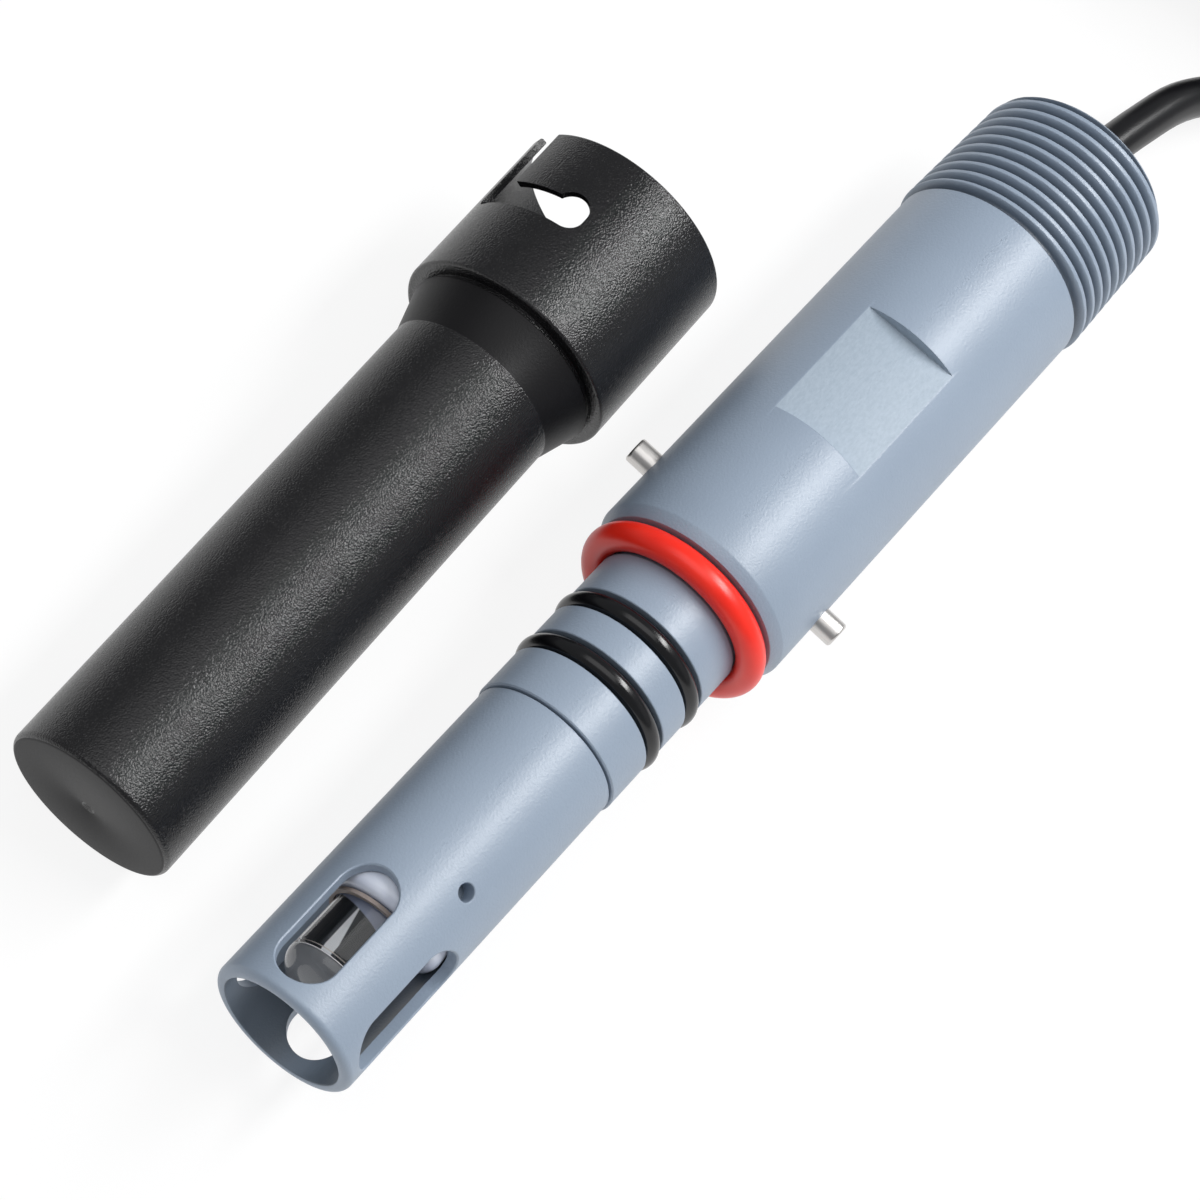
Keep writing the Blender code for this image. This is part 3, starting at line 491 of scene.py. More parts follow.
def clear_glass():
    """Clear laboratory glass."""
    made, tree, shader, node = new_material("clear_glass")
    waves = noise(tree, node, object_coordinates(tree, node, (60, 260, 260)), 1.0, 1.0)
    tree.links.new(spread(tree, node, waves, 0.0, 0.02), shader.inputs["Roughness"])
    tree.links.new(
        ramp(tree, node, waves, (0.95, 0.96, 0.97), (0.98, 0.99, 1.0)), shader.inputs["Base Color"]
    )
    shader.inputs["Transmission Weight"].default_value = 1.0
    shader.inputs["IOR"].default_value = 1.5
    return made


def fade(tree, node, value, start, end):
    """0 up to start, 1 from end, even between them."""
    step = node("ShaderNodeMapRange")
    tree.links.new(value, step.inputs["Value"])
    step.inputs["From Min"].default_value = start
    step.inputs["From Max"].default_value = end
    return step.outputs["Result"]


def paint(tree, node, mask, under, colour):
    """Colour laid over what is under it, where the mask is 1."""
    mix = node("ShaderNodeMix", data_type="RGBA")
    tree.links.new(mask, mix.inputs["Factor"])
    tree.links.new(under, mix.inputs[MIX_UNDER])
    mix.inputs[MIX_OVER].default_value = (*colour, 1.0)
    return mix.outputs[MIX_COLOUR]


def gel_painted_light_and_shade():
    """Core behind the glass, dark with painted shade: grey front, a painted highlight streak on its
    side, a painted highlight line at its rim, a painted highlight line round its shoulder and a
    painted reflection band at its rear.
    """
    made, tree, shader, node = new_material("gel_painted_light_and_shade")
    x, y, z = place_parts(tree, node)
    angle = maths(tree, node, "ARCTAN2", y, z)
    bands = noise(tree, node, object_coordinates(tree, node, (20, 700, 700)), 1.0, 2.0)
    # Painted shade: the core's side is nearly black
    colour = ramp(tree, node, bands, (0.006, 0.007, 0.009), (0.060, 0.062, 0.068))
    face = fade(tree, node, x, GEL_X + FADE_START, GEL_X + FADE_LENGTH)
    front = maths(tree, node, "SUBTRACT", 1.0, face)
    colour = paint(tree, node, front, colour, (0.24, 0.25, 0.27))
    # Painted highlight: a pale streak on the side, narrowing toward the rear
    narrowing = fade(tree, node, x, STREAK_TAPER_X, STREAK_END_X)
    lift = maths(tree, node, "MULTIPLY", narrowing, STREAK_HIGH - STREAK_LOW)
    lowered = maths(tree, node, "SUBTRACT", angle, lift)
    low_edge = fade(tree, node, lowered, STREAK_LOW - STREAK_EDGE, STREAK_LOW)
    high_edge = fade(tree, node, angle, STREAK_HIGH, STREAK_HIGH + STREAK_EDGE)
    streak = maths(tree, node, "MULTIPLY", low_edge, maths(tree, node, "SUBTRACT", 1.0, high_edge))
    behind = maths(tree, node, "SUBTRACT", 1.0, front)
    colour = paint(tree, node, maths(tree, node, "MULTIPLY", streak, behind), colour, PAINTED_HIGHLIGHT)
    # Painted highlight: a pale line along the side at the rim angle
    rim = maths(tree, node, "COMPARE", angle, RIM_ANGLE, RIM_HALF_WIDTH)
    colour = paint(tree, node, maths(tree, node, "MULTIPLY", rim, behind), colour, PAINTED_HIGHLIGHT)
    # Painted highlight: a pale line round the shoulder
    shoulder = maths(tree, node, "COMPARE", x, GEL_X + SHOULDER_LINE_X, SHOULDER_LINE_HALF)
    colour = paint(tree, node, shoulder, colour, (0.80, 0.74, 0.68))
    # Painted reflection: a pale blue band toward the rear
    lean = maths(tree, node, "MULTIPLY", angle, REAR_BAND_SLANT)
    slant = maths(tree, node, "SUBTRACT", x, lean)
    rear = fade(tree, node, slant, REAR_BAND_X, REAR_BAND_X + FADE_LENGTH)
    colour = paint(tree, node, rear, colour, (0.42, 0.47, 0.64))
    tree.links.new(colour, shader.inputs["Base Color"])
    tree.links.new(spread(tree, node, bands, 0.35, 0.5), shader.inputs["Roughness"])
    return made


def glossy(name, low, high, rough):
    """Smooth polymer or resin with faint clouding."""
    made, tree, shader, node = new_material(name)
    cloud = noise(tree, node, object_coordinates(tree, node, (300, 300, 300)), 1.0, 2.0)
    grain = noise(tree, node, object_coordinates(tree, node, (3000, 3000, 3000)), 1.0, 2.0)
    tree.links.new(ramp(tree, node, cloud, low, high), shader.inputs["Base Color"])
    tree.links.new(spread(tree, node, grain, *rough), shader.inputs["Roughness"])
    bump(tree, node, shader, [(grain, 0.000006, 0.3)])
    return made


def woven_strap():
    """Nylon hook-and-loop strap with a fine weave."""
    made, tree, shader, node = new_material("woven_strap")
    checks = node("ShaderNodeTexWave")
    checks.inputs["Scale"].default_value = 480
    checks.inputs["Distortion"].default_value = 1.5
    place = node("ShaderNodeTexCoord")
    tree.links.new(place.outputs["Object"], checks.inputs["Vector"])
    fac = checks.outputs["Fac"]
    tree.links.new(
        ramp(tree, node, fac, (0.02, 0.02, 0.022), (0.045, 0.045, 0.05)), shader.inputs["Base Color"]
    )
    tree.links.new(spread(tree, node, fac, 0.7, 0.9), shader.inputs["Roughness"])
    bump(tree, node, shader, [(fac, 0.0001, 0.5)])
    return made


# Mesh helpers


def revolve(name, profile, segments, closed=True, swell=None):
    """Turn an (x, r) profile round X. swell(x, r, angle) may change a radius locally."""
    bm = bmesh.new()
    rows = []
    for x, r in profile:
        if r == 0.0:
            rows.append([bm.verts.new((x, 0.0, 0.0))])
            continue
        row = []
        for step in range(segments):
            angle = math.tau * step / segments
            radius = swell(x, r, angle) if swell else r
            row.append(bm.verts.new((x, radius * math.sin(angle), radius * math.cos(angle))))
        rows.append(row)
    pairs = list(zip(rows, rows[1:]))
    if closed:
        pairs.append((rows[-1], rows[0]))
    for first, second in pairs:
        for step in range(segments):
            after = (step + 1) % segments
            corners = [first[step % len(first)], first[after % len(first)]]
            corners += [second[after % len(second)], second[step % len(second)]]
            unique = list(dict.fromkeys(corners))
            if len(unique) > 2:
                bm.faces.new(unique)
    bmesh.ops.recalc_face_normals(bm, faces=bm.faces)
    mesh = bpy.data.meshes.new(name)
    bm.to_mesh(mesh)
    bm.free()
    return link(bpy.data.objects.new(name, mesh))


def loft(name, loops):
    """Closed solid through equal loops of points, with flat ends."""
    bm = bmesh.new()
    rows = [[bm.verts.new(point) for point in loop] for loop in loops]
    count = len(rows[0])
    for first, second in zip(rows, rows[1:]):
        for step in range(count):
            after = (step + 1) % count
            bm.faces.new((first[step], first[after], second[after], second[step]))
    bm.faces.new(rows[0])
    bm.faces.new(rows[-1])
    bmesh.ops.recalc_face_normals(bm, faces=bm.faces)
    mesh = bpy.data.meshes.new(name)
    bm.to_mesh(mesh)
    bm.free()
    return link(bpy.data.objects.new(name, mesh))


def carve(piece, cutters):
    """Subtract the cutters from the piece and keep the result as its mesh."""
    for cutter in cutters:
        step = piece.modifiers.new(cutter.name, "BOOLEAN")
        step.operation = "DIFFERENCE"
        step.solver = "EXACT"
        step.object = cutter
    view = bpy.context.evaluated_depsgraph_get()
    mesh = bpy.data.meshes.new_from_object(piece.evaluated_get(view))
    piece.modifiers.clear()
    piece.data = mesh
    for cutter in cutters:
        bpy.data.objects.remove(cutter)


def smooth(piece, angle=30):
    piece.data.shade_smooth()
    piece.data.set_sharp_from_angle(angle=math.radians(angle))


def dress(piece, finish, nodes, place=None):
    """Give a piece its finish, its place, the body it rides on and the nodes it stands for."""
    piece.data.materials.append(finish)
    if place is not None:
        piece.matrix_world = place
    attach(piece, "root")
    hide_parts(*nodes)
    return piece


def keep(node_name, finish):
    """A CAD node that keeps its shape and gets a better finish."""
    made = frame["nodes"][node_name]
    made.data.materials.clear()
    made.data.materials.append(finish)


def surface_outline(outline, radius, grow):
    """Outline laid on a cylinder about X: walls stay parallel, as a milling cutter leaves them."""
    count = len(outline)
    points = []
    for index, (x, v) in enumerate(outline):
        before = Vector(outline[index - 1])
        after = Vector(outline[(index + 1) % count])
        along = (after - before).normalized()
        x_out = x + along.y * grow
        v_out = v - along.x * grow
        points.append((x_out, v_out, math.sqrt(radius * radius - v_out * v_out)))
    return points


def round_cutter(name, outline, foot, radius, chamfer, turn):
    """Cutter through a round wall that flares where it leaves it and so breaks the edge."""
    wall = surface_outline(outline, radius - chamfer, 0.0)
    edge = surface_outline(outline, radius + chamfer, 2 * chamfer)
    low = [(x, v, foot) for x, v, _ in wall]
    high = [(x, v, radius * 1.5) for x, v, _ in edge]
    made = loft(name, [low, wall, edge, high])
    made.rotation_euler.x = turn
    return made


# Pieces


def guard(finish, bore_painted_shade_finish):
    """Guard tube with four slots whose outer edges are broken, a filling hole and a spigot."""
    rear = GUARD_LENGTH + SPIGOT_LENGTH
    fillet = GUARD_RIM_FILLET
    profile = arc(fillet, GUARD_R - fillet, fillet, 180, 90, 10)
    profile += [
        (GUARD_LENGTH - EDGE, GUARD_R),
        (GUARD_LENGTH, GUARD_R - EDGE),
        (GUARD_LENGTH, SPIGOT_R),
        (rear, SPIGOT_R),
        (rear, CHAMBER_R),
        (JUNCTION_SEAT_X, CHAMBER_R),
        (JUNCTION_SEAT_X, GUARD_BORE_R),
    ]
    bore = GUARD_BORE_FILLET
    profile += arc(bore, GUARD_BORE_R + bore, bore, 270, 180, 4)
    made = revolve("guard_shell", profile, FINE)
    half = SLOT_WIDTH / 2
    stadium = arc(SLOT_FRONT_X + half, 0, half, 90, 270, 28)
    stadium += arc(SLOT_REAR_X - half, 0, half, -90, 90, 28)
    cutters = []
    for number in range(SLOT_COUNT):
        turn = -(SLOT_ANGLE + math.tau * number / SLOT_COUNT)
        cutters.append(
            round_cutter(f"slot_{number}", stadium, GLASS_R, GUARD_R, SLOT_CHAMFER, turn)
        )
    hole = arc(VENT_X, 0, VENT_D / 2, 0, 360, 40)[:-1]
    cutters.append(round_cutter("vent", hole, GUARD_R - VENT_DEPTH, GUARD_R, EDGE, -VENT_ANGLE))
    carve(made, cutters)
    smooth(made, 25)
    dress(made, finish, ["guard"], AXIS)
    # The bore's faces take the darker copy of the polymer: painted shade inside the tube
    made.data.materials.append(bore_painted_shade_finish)
    inner = GUARD_BORE_R + EDGE
    for face in made.data.polygons:
        corners = [made.data.vertices[index].co for index in face.vertices]
        if all(math.hypot(corner.y, corner.z) < inner for corner in corners):
            face.material_index = 1
    return made


def thread_crest(x):
    return THREAD_R - (x - THREAD_X) * THREAD_TAPER


def thread_swell(x, r, angle):
    """Radius of the pipe thread: rounded crests on a taper, fading out at both ends."""
    start = THREAD_X + THREAD_RELIEF_WIDTH
    if x < start or r < CAVITY_R * 1.05:
        return r
    phase = ((x - start) / THREAD_PITCH + angle / math.tau) % 1.0
    rise = 1 - abs(2 * phase - 1)
    flank = min(1.0, max(0.0, (rise - THREAD_ROOT) / THREAD_FLANK))
    valley = 1 - (flank + smoothstep(0.0, 1.0, flank)) / 2
    onset = smoothstep(start, start + THREAD_PITCH * THREAD_ONSET, x)
    crest = thread_crest(x)
    wave = crest - THREAD_DEPTH * valley
    lead = THREAD_RELIEF_R + (wave - THREAD_RELIEF_R) * onset
    end_cone = crest - max(0.0, x - (LENGTH - THREAD_END_CHAMFER))
    return min(lead, end_cone, r)


def housing(finish, flat_finish_painted_light):
    """Nose, body with wrench flats and pin holes, and the cut pipe thread, in one piece."""
    socket_end = GUARD_LENGTH + SPIGOT_LENGTH + CLEAR
    socket_r = SPIGOT_R + CLEAR
    profile = [(NOSE_X, socket_r), (NOSE_X, NOSE_R - 0.0002), (NOSE_X + 0.0002, NOSE_R)]
    for number in range(2):
        front = GROOVE_X + GROOVE_PITCH * number
        rear = front + GROOVE_WIDTH
        profile += [
            (front - EDGE, NOSE_R),
            (front, NOSE_R - EDGE),
            (front, GROOVE_R),
            (rear, GROOVE_R),
            (rear, NOSE_R - EDGE),
            (rear + EDGE, NOSE_R),
        ]
    seat_x = SEAL_X - math.sqrt((SEAL_D / 2 + CLEAR) ** 2 - (SEAL_R - NOSE_R) ** 2)
    profile += [(seat_x - EDGE, NOSE_R), (seat_x, NOSE_R - EDGE), (seat_x, SEAL_SEAT_R)]
    profile += [
        (SHOULDER_X, SEAL_SEAT_R),
        (SHOULDER_X, SHOULDER_R),
        (SHOULDER_CHAMFER_X - EDGE, BODY_R - EDGE / 2),
        (SHOULDER_CHAMFER_X + EDGE, BODY_R),
    ]
    body_steps = 12
    for step in range(1, body_steps):
        x = SHOULDER_CHAMFER_X + (THREAD_X - SHOULDER_CHAMFER_X) * step / body_steps
        profile.append((x, BODY_R))
    profile += [
        (THREAD_X - EDGE, BODY_R),
        (THREAD_X, BODY_R - EDGE),
        (THREAD_X, THREAD_RELIEF_R),
    ]
    thread_start = THREAD_X + THREAD_RELIEF_WIDTH
    spacing = THREAD_PITCH / THREAD_ROWS
    rows = int((LENGTH - thread_start) / spacing)
    for step in range(rows + 1):
        x = thread_start + spacing * step
        profile.append((x, thread_crest(x)))
    profile += [
        (LENGTH, thread_crest(LENGTH) - THREAD_END_CHAMFER),
        (LENGTH, CAVITY_R),
        (CAVITY_X, CAVITY_R),
        (CAVITY_X, CHAMBER_R),
        (socket_end, CHAMBER_R),
        (socket_end, socket_r),
    ]
    made = revolve("housing_body", profile, FINE, swell=thread_swell)
    reach = BODY_R * 1.5
    window = [(FLAT_X, -reach), (FLAT_X + FLAT_LENGTH, -reach)]
    window += [(FLAT_X + FLAT_LENGTH, reach), (FLAT_X, reach)]
    cutters = []
    for side, turn in (("upper", 0.0), ("lower", math.pi)):
        low = [(x, v, FLAT_ACROSS / 2) for x, v in window]
        high = [(x, v, reach) for x, v in window]
        cutter = loft(f"flat_{side}", [low, high])
        cutter.rotation_euler.x = turn
        cutters.append(cutter)
    hole = arc(PIN_X, 0, PIN_D / 2 + CLEAR, 0, 360, 48)[:-1]
    for side, turn in (("left", -math.pi / 2), ("right", math.pi / 2)):
        cutters.append(
            round_cutter(f"pin_{side}", hole, PIN_FOOT - CLEAR, BODY_R, EDGE, turn + PIN_ROLL)
        )
    carve(made, cutters)
    smooth(made, 32)
    dress(made, finish, ["housing"], AXIS)
    # The flats take the milled finish, whose lighter colour is painted light
    made.data.materials.append(flat_finish_painted_light)
    flat_height = FLAT_ACROSS / 2 - 1e-5
    for face in made.data.polygons:
        if abs(face.normal.z) > 0.999 and abs(abs(face.center.z) - FLAT_ACROSS / 2) < 1e-5:
            face.material_index = 1
        elif abs(face.normal.x) > 0.999 and FLAT_X < face.center.x < FLAT_X + FLAT_LENGTH + 1e-4:
            if abs(face.center.z) > flat_height:
                face.material_index = 1
    return made


def seal_ring(name, node_name, centre_x, centre_r, diameter, finish):
    section = arc(centre_x, centre_r, diameter / 2, 0, 360, 32)[:-1]
    made = revolve(name, section, FINE)
    smooth(made, 180)
    return dress(made, finish, [node_name], AXIS)


def bayonet_pin(side, turn, finish):
    """Steel dowel with rounded ends, standing out of the body."""
    radius = PIN_D / 2
    profile = [(PIN_FOOT, 0.0), (PIN_FOOT, radius - PIN_FILLET)]
    profile += [(PIN_FOOT + PIN_FILLET, radius)]
    profile += arc(PIN_REACH - PIN_FILLET, radius - PIN_FILLET, PIN_FILLET, 90, 0, 8)
    profile.append((PIN_REACH, 0.0))
    made = revolve(f"dowel_{side}", profile, MEDIUM, closed=False)
    smooth(made, 40)
    place = AXIS @ Matrix.Translation((PIN_X, 0, 0))
    place = place @ Matrix.Rotation(turn + PIN_ROLL, 4, "X") @ Matrix.Rotation(math.pi / 2, 4, "Z")
    return dress(made, finish, [f"bayonet_pin_{side}"], place)


def glass_electrode(finish, core_painted_light_and_shade):
    """Clear tube with a low dome and a beaded shoulder, cast round a core in its bore that is
    coloured with painted shade and painted light.
    """
    depth = GLASS_SHOULDER_X - GLASS_TIP_X
    profile = []
    steps = 28
    for step in range(steps + 1):
        angle = math.pi / 2 * step / steps
        sweep = math.sin(angle) ** DOME_FULLNESS
        rise = 1 - math.cos(angle)
        profile.append((GLASS_TIP_X + depth * rise, GLASS_BEAD_R * sweep))
    profile += [(GLASS_SHOULDER_X + along, GLASS_R + out) for along, out in GLASS_BEAD]
    profile += [
        (GLASS_REAR_X, GLASS_R),
        (GLASS_REAR_X, GLASS_R - GLASS_WALL),
        (GEL_REAR_X, GLASS_R - GLASS_WALL),
        (GEL_REAR_X, ELEMENT_BORE_R),
        (GEL_BORE_X, ELEMENT_BORE_R),
        (GEL_BORE_X, 0.0),
    ]
    made = revolve("glass_tube", profile, MEDIUM, closed=False)
    smooth(made, 35)
    gel = arc(GEL_X + GEL_FILLET, GEL_R - GEL_FILLET, GEL_FILLET, 180, 90, 6)
    gel += [
        (GEL_REAR_X - CLEAR, GEL_R),
        (GEL_REAR_X - CLEAR, ELEMENT_BORE_R + CLEAR),
        (GEL_BORE_X - CLEAR, ELEMENT_BORE_R + CLEAR),
        (GEL_BORE_X - CLEAR, 0.0),
    ]
    core = revolve("glass_core_painted_shade", [(GEL_X, 0.0), *gel], MEDIUM, closed=False)
    smooth(core, 35)
    dress(core, core_painted_light_and_shade, ["glass_electrode"], AXIS)
    return dress(made, finish, ["glass_electrode"], AXIS)


def junction(finish):
    """White junction ring, rounded on its front edge."""
    outer = GUARD_BORE_R - CLEAR
    inner = GLASS_R + CLEAR
    fillet = JUNCTION_FILLET
    profile = arc(JUNCTION_X + fillet, outer - fillet, fillet, 180, 90, 12)
    profile += [(JUNCTION_X + JUNCTION_LENGTH, outer), (JUNCTION_X + JUNCTION_LENGTH, inner)]
    profile += arc(JUNCTION_X + 0.0002, inner + 0.0002, 0.0002, 270, 180, 3)
    made = revolve("junction_ring", profile, MEDIUM)
    smooth(made, 35)
    return dress(made, finish, ["junction"], AXIS)


def cap_place():
    """The cap leans on the edges of its closed end and of its collar."""
    run = COLLAR_S + COLLAR_FILLET - CAP_EDGE_FILLET
    rise = (COLLAR_R - COLLAR_FILLET) - (CAP_R - CAP_EDGE_FILLET)
    shift = COLLAR_FILLET - CAP_EDGE_FILLET
    lean = math.atan2(rise, run) + math.asin(shift / math.hypot(run, rise))
    height = CAP_EDGE_FILLET * (1 - math.sin(lean))
    height += (CAP_R - CAP_EDGE_FILLET) * math.cos(lean)
    spot = Matrix.Translation((FRONT_X + CAP_FRONT_GAP, AXIS_Y + CAP_SPACING, height))
    return spot @ Matrix.Rotation(CAP_YAW, 4, "Z") @ Matrix.Rotation(-lean, 4, "Y")


def j_outline():
    """Bayonet slot on the unrolled collar: pocket, leg and entry as (s, y) points."""
    mid_r = (COLLAR_BORE_R + COLLAR_R) / 2
    half = J_WIDTH / 2
    pocket_y = POCKET_ANGLE * mid_r
    entry_y = ENTRY_ANGLE * mid_r
    lip = math.degrees(math.acos((LEG_S + half - POCKET_S) / POCKET_R))
    points = arc(POCKET_S, pocket_y, POCKET_R, lip, -90, 20)
    points += arc(LEG_S, pocket_y - POCKET_R + half, half, -90, -180, 12)
    corner = J_CORNER
    lead = J_ENTRY_FILLET
    steps = 16
    start_y = pocket_y - POCKET_R + half
    end_y = entry_y + half - corner
    for step in range(1, steps):
        points.append((LEG_S - half, start_y + (end_y - start_y) * step / steps))
    points += arc(LEG_S - half + corner, end_y, corner, 180, 90, 6)
    points += [(CAP_LENGTH + half, entry_y + half), (CAP_LENGTH + half, entry_y - half)]
    points += arc(LEG_S + half + lead, entry_y - half - lead, lead, 90, 180, 4)
    lip_y = pocket_y + POCKET_R * math.sin(math.radians(lip))
    for step in range(1, steps):
        top = entry_y - half - lead
        points.append((LEG_S + half, top + (lip_y - top) * step / steps))
    return [(s, y / mid_r) for s, y in points]


def protective_cap(finish, smooth_finish):
    """Moulded cap: closed tube, cone, undercut and thin collar with two J-slots."""
    edge = CAP_EDGE_FILLET
    profile = [(0.0004, 0.0), (0.00036, 0.0004), (0.0, 0.0011)]
    profile += arc(edge, CAP_R - edge, edge, 180, 90, 10)
    profile += [
        (CONE_START_S, CAP_R),
        (CONE_END_S - EDGE, CONE_R - EDGE / 3),
        (CONE_END_S, CONE_R - EDGE),
        (CONE_END_S, CONE_R - UNDERCUT_DEPTH),
        (COLLAR_S, CONE_R - UNDERCUT_DEPTH),
    ]
    profile += arc(COLLAR_S + COLLAR_FILLET, COLLAR_R - COLLAR_FILLET, COLLAR_FILLET, 180, 90, 6)
    mouth = CAP_MOUTH_FILLET
    profile += arc(CAP_LENGTH - mouth, COLLAR_R - mouth, mouth, 90, 0, 5)
    profile += arc(CAP_LENGTH - mouth / 2, COLLAR_BORE_R + mouth / 2, mouth / 2, 0, -90, 3)
    profile += [
        (CAP_SEAT_S, COLLAR_BORE_R),
        (CAP_SEAT_S, CAP_BORE_R + CAP_LEAD_IN_RISE),
        (CAP_SEAT_S - CAP_LEAD_IN, CAP_BORE_R),
    ]
    foot = CAP_FLOOR_FILLET
    profile += arc(CAP_END_WALL + foot, CAP_BORE_R - foot, foot, 90, 180, 5)
    profile.append((CAP_END_WALL, 0.0))
    made = revolve("cap_shell", profile, FINE, closed=False)
    outline = j_outline()
    cutters = []
    for number in range(2):
        loops = []
        for radius in (COLLAR_BORE_R * 0.8, COLLAR_R * 1.3):
            loops.append(
                [(s, radius * math.sin(angle), radius * math.cos(angle)) for s, angle in outline]
            )
        cutter = loft(f"j_slot_{number}", loops)
        cutter.rotation_euler.x = math.pi * number
        cutters.append(cutter)
    carve(made, cutters)
    smooth(made, 28)
    dress(made, finish, ["protective_cap"], cap_place())
    made.data.materials.append(smooth_finish)
    for face in made.data.polygons:
        if face.center.x < 1e-4 or CONE_START_S < face.center.x < CONE_END_S:
            face.material_index = 1
    return made


def smooth_route(points):
    """Catmull-Rom curve through the route's own points."""
    ends = [points[0] * 2 - points[1], *points, points[-1] * 2 - points[-2]]
    fine = []
    for a, b, c, d in zip(ends, ends[1:], ends[2:], ends[3:]):
        for part in range(SPAN_POINTS):
            t = part / SPAN_POINTS
            bend = 2 * a - 5 * b + 4 * c - d
            twist = 3 * b - a - 3 * c + d
            fine.append(0.5 * (2 * b + (c - a) * t + bend * t**2 + twist * t**3))
    fine.append(points[-1])
    return fine


def coil_frame(route):
    """Centre of the coil and the angle at which the cable joins it."""
    ahead = route[-1] - route[-2]
    ahead.z = 0.0
    ahead.normalize()
    left = Vector((-ahead.y, ahead.x, 0.0))
    inner_side = COIL_LANE_R - CABLE_D / 2
    run = math.sqrt((COIL_OUTER_R + CLEAR) ** 2 - inner_side**2)
    centre = route[-1] + ahead * run + left * COIL_LANE_R
    centre.z = 0.0
    return centre, math.atan2(-left.y, -left.x)


def coil_points(centre, start_angle, turns):
    """Turns laid in lanes a cable's width apart: inward, outward and inward again."""
    points = []
    for step in range(1, int(turns * TURN_POINTS) + 1):
        turn = step / TURN_POINTS
        whole = int(turn)
        part = smoothstep(1 - LANE_SHIFT, 1.0, turn - whole)
        lane, layer = lane_of(whole)
        next_lane, next_layer = lane_of(whole + 1)
        radius = COIL_LANE_R - CABLE_D * (lane + (next_lane - lane) * part)
        height = COIL_BASE + CABLE_D * (layer + (next_layer - layer) * part + 0.5)
        angle = start_angle + math.tau * turn
        place = Vector((radius * math.cos(angle), radius * math.sin(angle), height))
        points.append(centre + place)
    return points


def lane_of(turn):
    """Lane and layer of a whole turn, counted from the outside and from below."""
    layer = turn // COIL_COLUMNS
    lane = turn % COIL_COLUMNS
    if layer % 2:
        lane = COIL_COLUMNS - 1 - lane
    return lane, min(layer, COIL_LAYERS - 1)


def cross_over(centre, start_angle, turns):
    """The last turn climbs over the coil, goes outward and comes down beside it."""
    points = []
    end_angle = start_angle + math.tau * COIL_COLUMNS * COIL_LAYERS
    tail = Vector(TAIL_ROUTE[0])
    finish_angle = end_angle + ((math.atan2(tail.y, tail.x) - end_angle) % math.tau)
    first_angle = start_angle + math.tau * turns
    inner_r = COIL_LANE_R - CABLE_D * (COIL_COLUMNS - 1)
    top = COIL_BASE + CABLE_D * (COIL_LAYERS - 0.5)
    foot = CABLE_D / 2 + BOOT_WALL
    steps = int(TURN_POINTS * (finish_angle - first_angle) / math.tau)
    for step in range(1, steps):
        share = step / steps
        angle = first_angle + (finish_angle - first_angle) * share
        radius = inner_r + (tail.length - inner_r) * smoothstep(0.10, 0.72, share)
        rise = CABLE_D * smoothstep(0.0, 0.24, share)
        fall = (top + CABLE_D - foot) * smoothstep(0.58, 1.0, share)
        place = Vector((radius * math.cos(angle), radius * math.sin(angle), top + rise - fall))
        points.append(centre + place)
    return points


def cable(finish):
    """One cable: out of the rear face, down to the bench, into its coil and out to its end."""
    rear = Vector((REAR_X, AXIS_Y, 0.0))
    route = [rear + Vector(point) for point in CABLE_ROUTE]
    centre, start_angle = coil_frame(route)
    first = Vector((math.cos(start_angle), math.sin(start_angle), 0.0)) * COIL_LANE_R
    joint = centre + first + Vector((0, 0, COIL_BASE + CABLE_D / 2))
    foot = CABLE_D / 2 + BOOT_WALL
    tail = [centre + Vector((x, y, foot)) for x, y in TAIL_ROUTE]
    free = smooth_route(route[2:] + [joint])
    points = free + coil_points(centre, start_angle, FREE_TURN)
    points += cross_over(centre, start_angle, FREE_TURN) + smooth_route(tail)
    curve = bpy.data.curves.new("sensor_cable", "CURVE")
    curve.dimensions = "3D"
    curve.bevel_depth = CABLE_D / 2
    curve.bevel_resolution = 6
    curve.use_fill_caps = True
    line = curve.splines.new("POLY")
    line.points.add(len(points) - 1)
    for spot, place in zip(line.points, points):
        spot.co = (*place, 1.0)
    line.use_smooth = True
    made = link(bpy.data.objects.new("sensor_cable", curve))
    dress(made, finish, ["cable", "cable_coil", "cable_tail"])
    names = ("cable_end_boot", "signal_lead", "shield_lead", "signal_terminal")
    ends = [frame["nodes"][name] for name in names]
    ends += [frame["nodes"]["shield_terminal"], frame["nodes"]["cable_tie"]]
    return made


# Stage


def camera():
    lens = bpy.data.cameras.new("photo_view")
    lens.sensor_fit = "HORIZONTAL"
    lens.angle = CAMERA_VIEW
    lens.clip_start = 0.01
    made = link(bpy.data.objects.new("photo_view", lens))
    back = -CAMERA_FORWARD.normalized()
    up = back.cross(CAMERA_RIGHT).normalized()
    right = up.cross(back)
    turn = Matrix((right, up, back)).transposed().to_4x4()
    made.matrix_world = Matrix.Translation(AXIS @ CAMERA_PLACE) @ turn
    bpy.context.scene.camera = made


def softbox(name, place, target, size, power):
    """Rectangular light whose first side runs along X as far as it can."""
    lamp = bpy.data.lights.new(name, "AREA")
    lamp.shape = "RECTANGLE"
    lamp.size, lamp.size_y = size
    lamp.energy = power
    made = link(bpy.data.objects.new(name, lamp))
    away = (place - target).normalized()
    side = (Vector((1, 0, 0)) - away * away.x).normalized()
    turn = Matrix((side, away.cross(side), away)).transposed().to_4x4()
    made.matrix_world = Matrix.Translation(place) @ turn


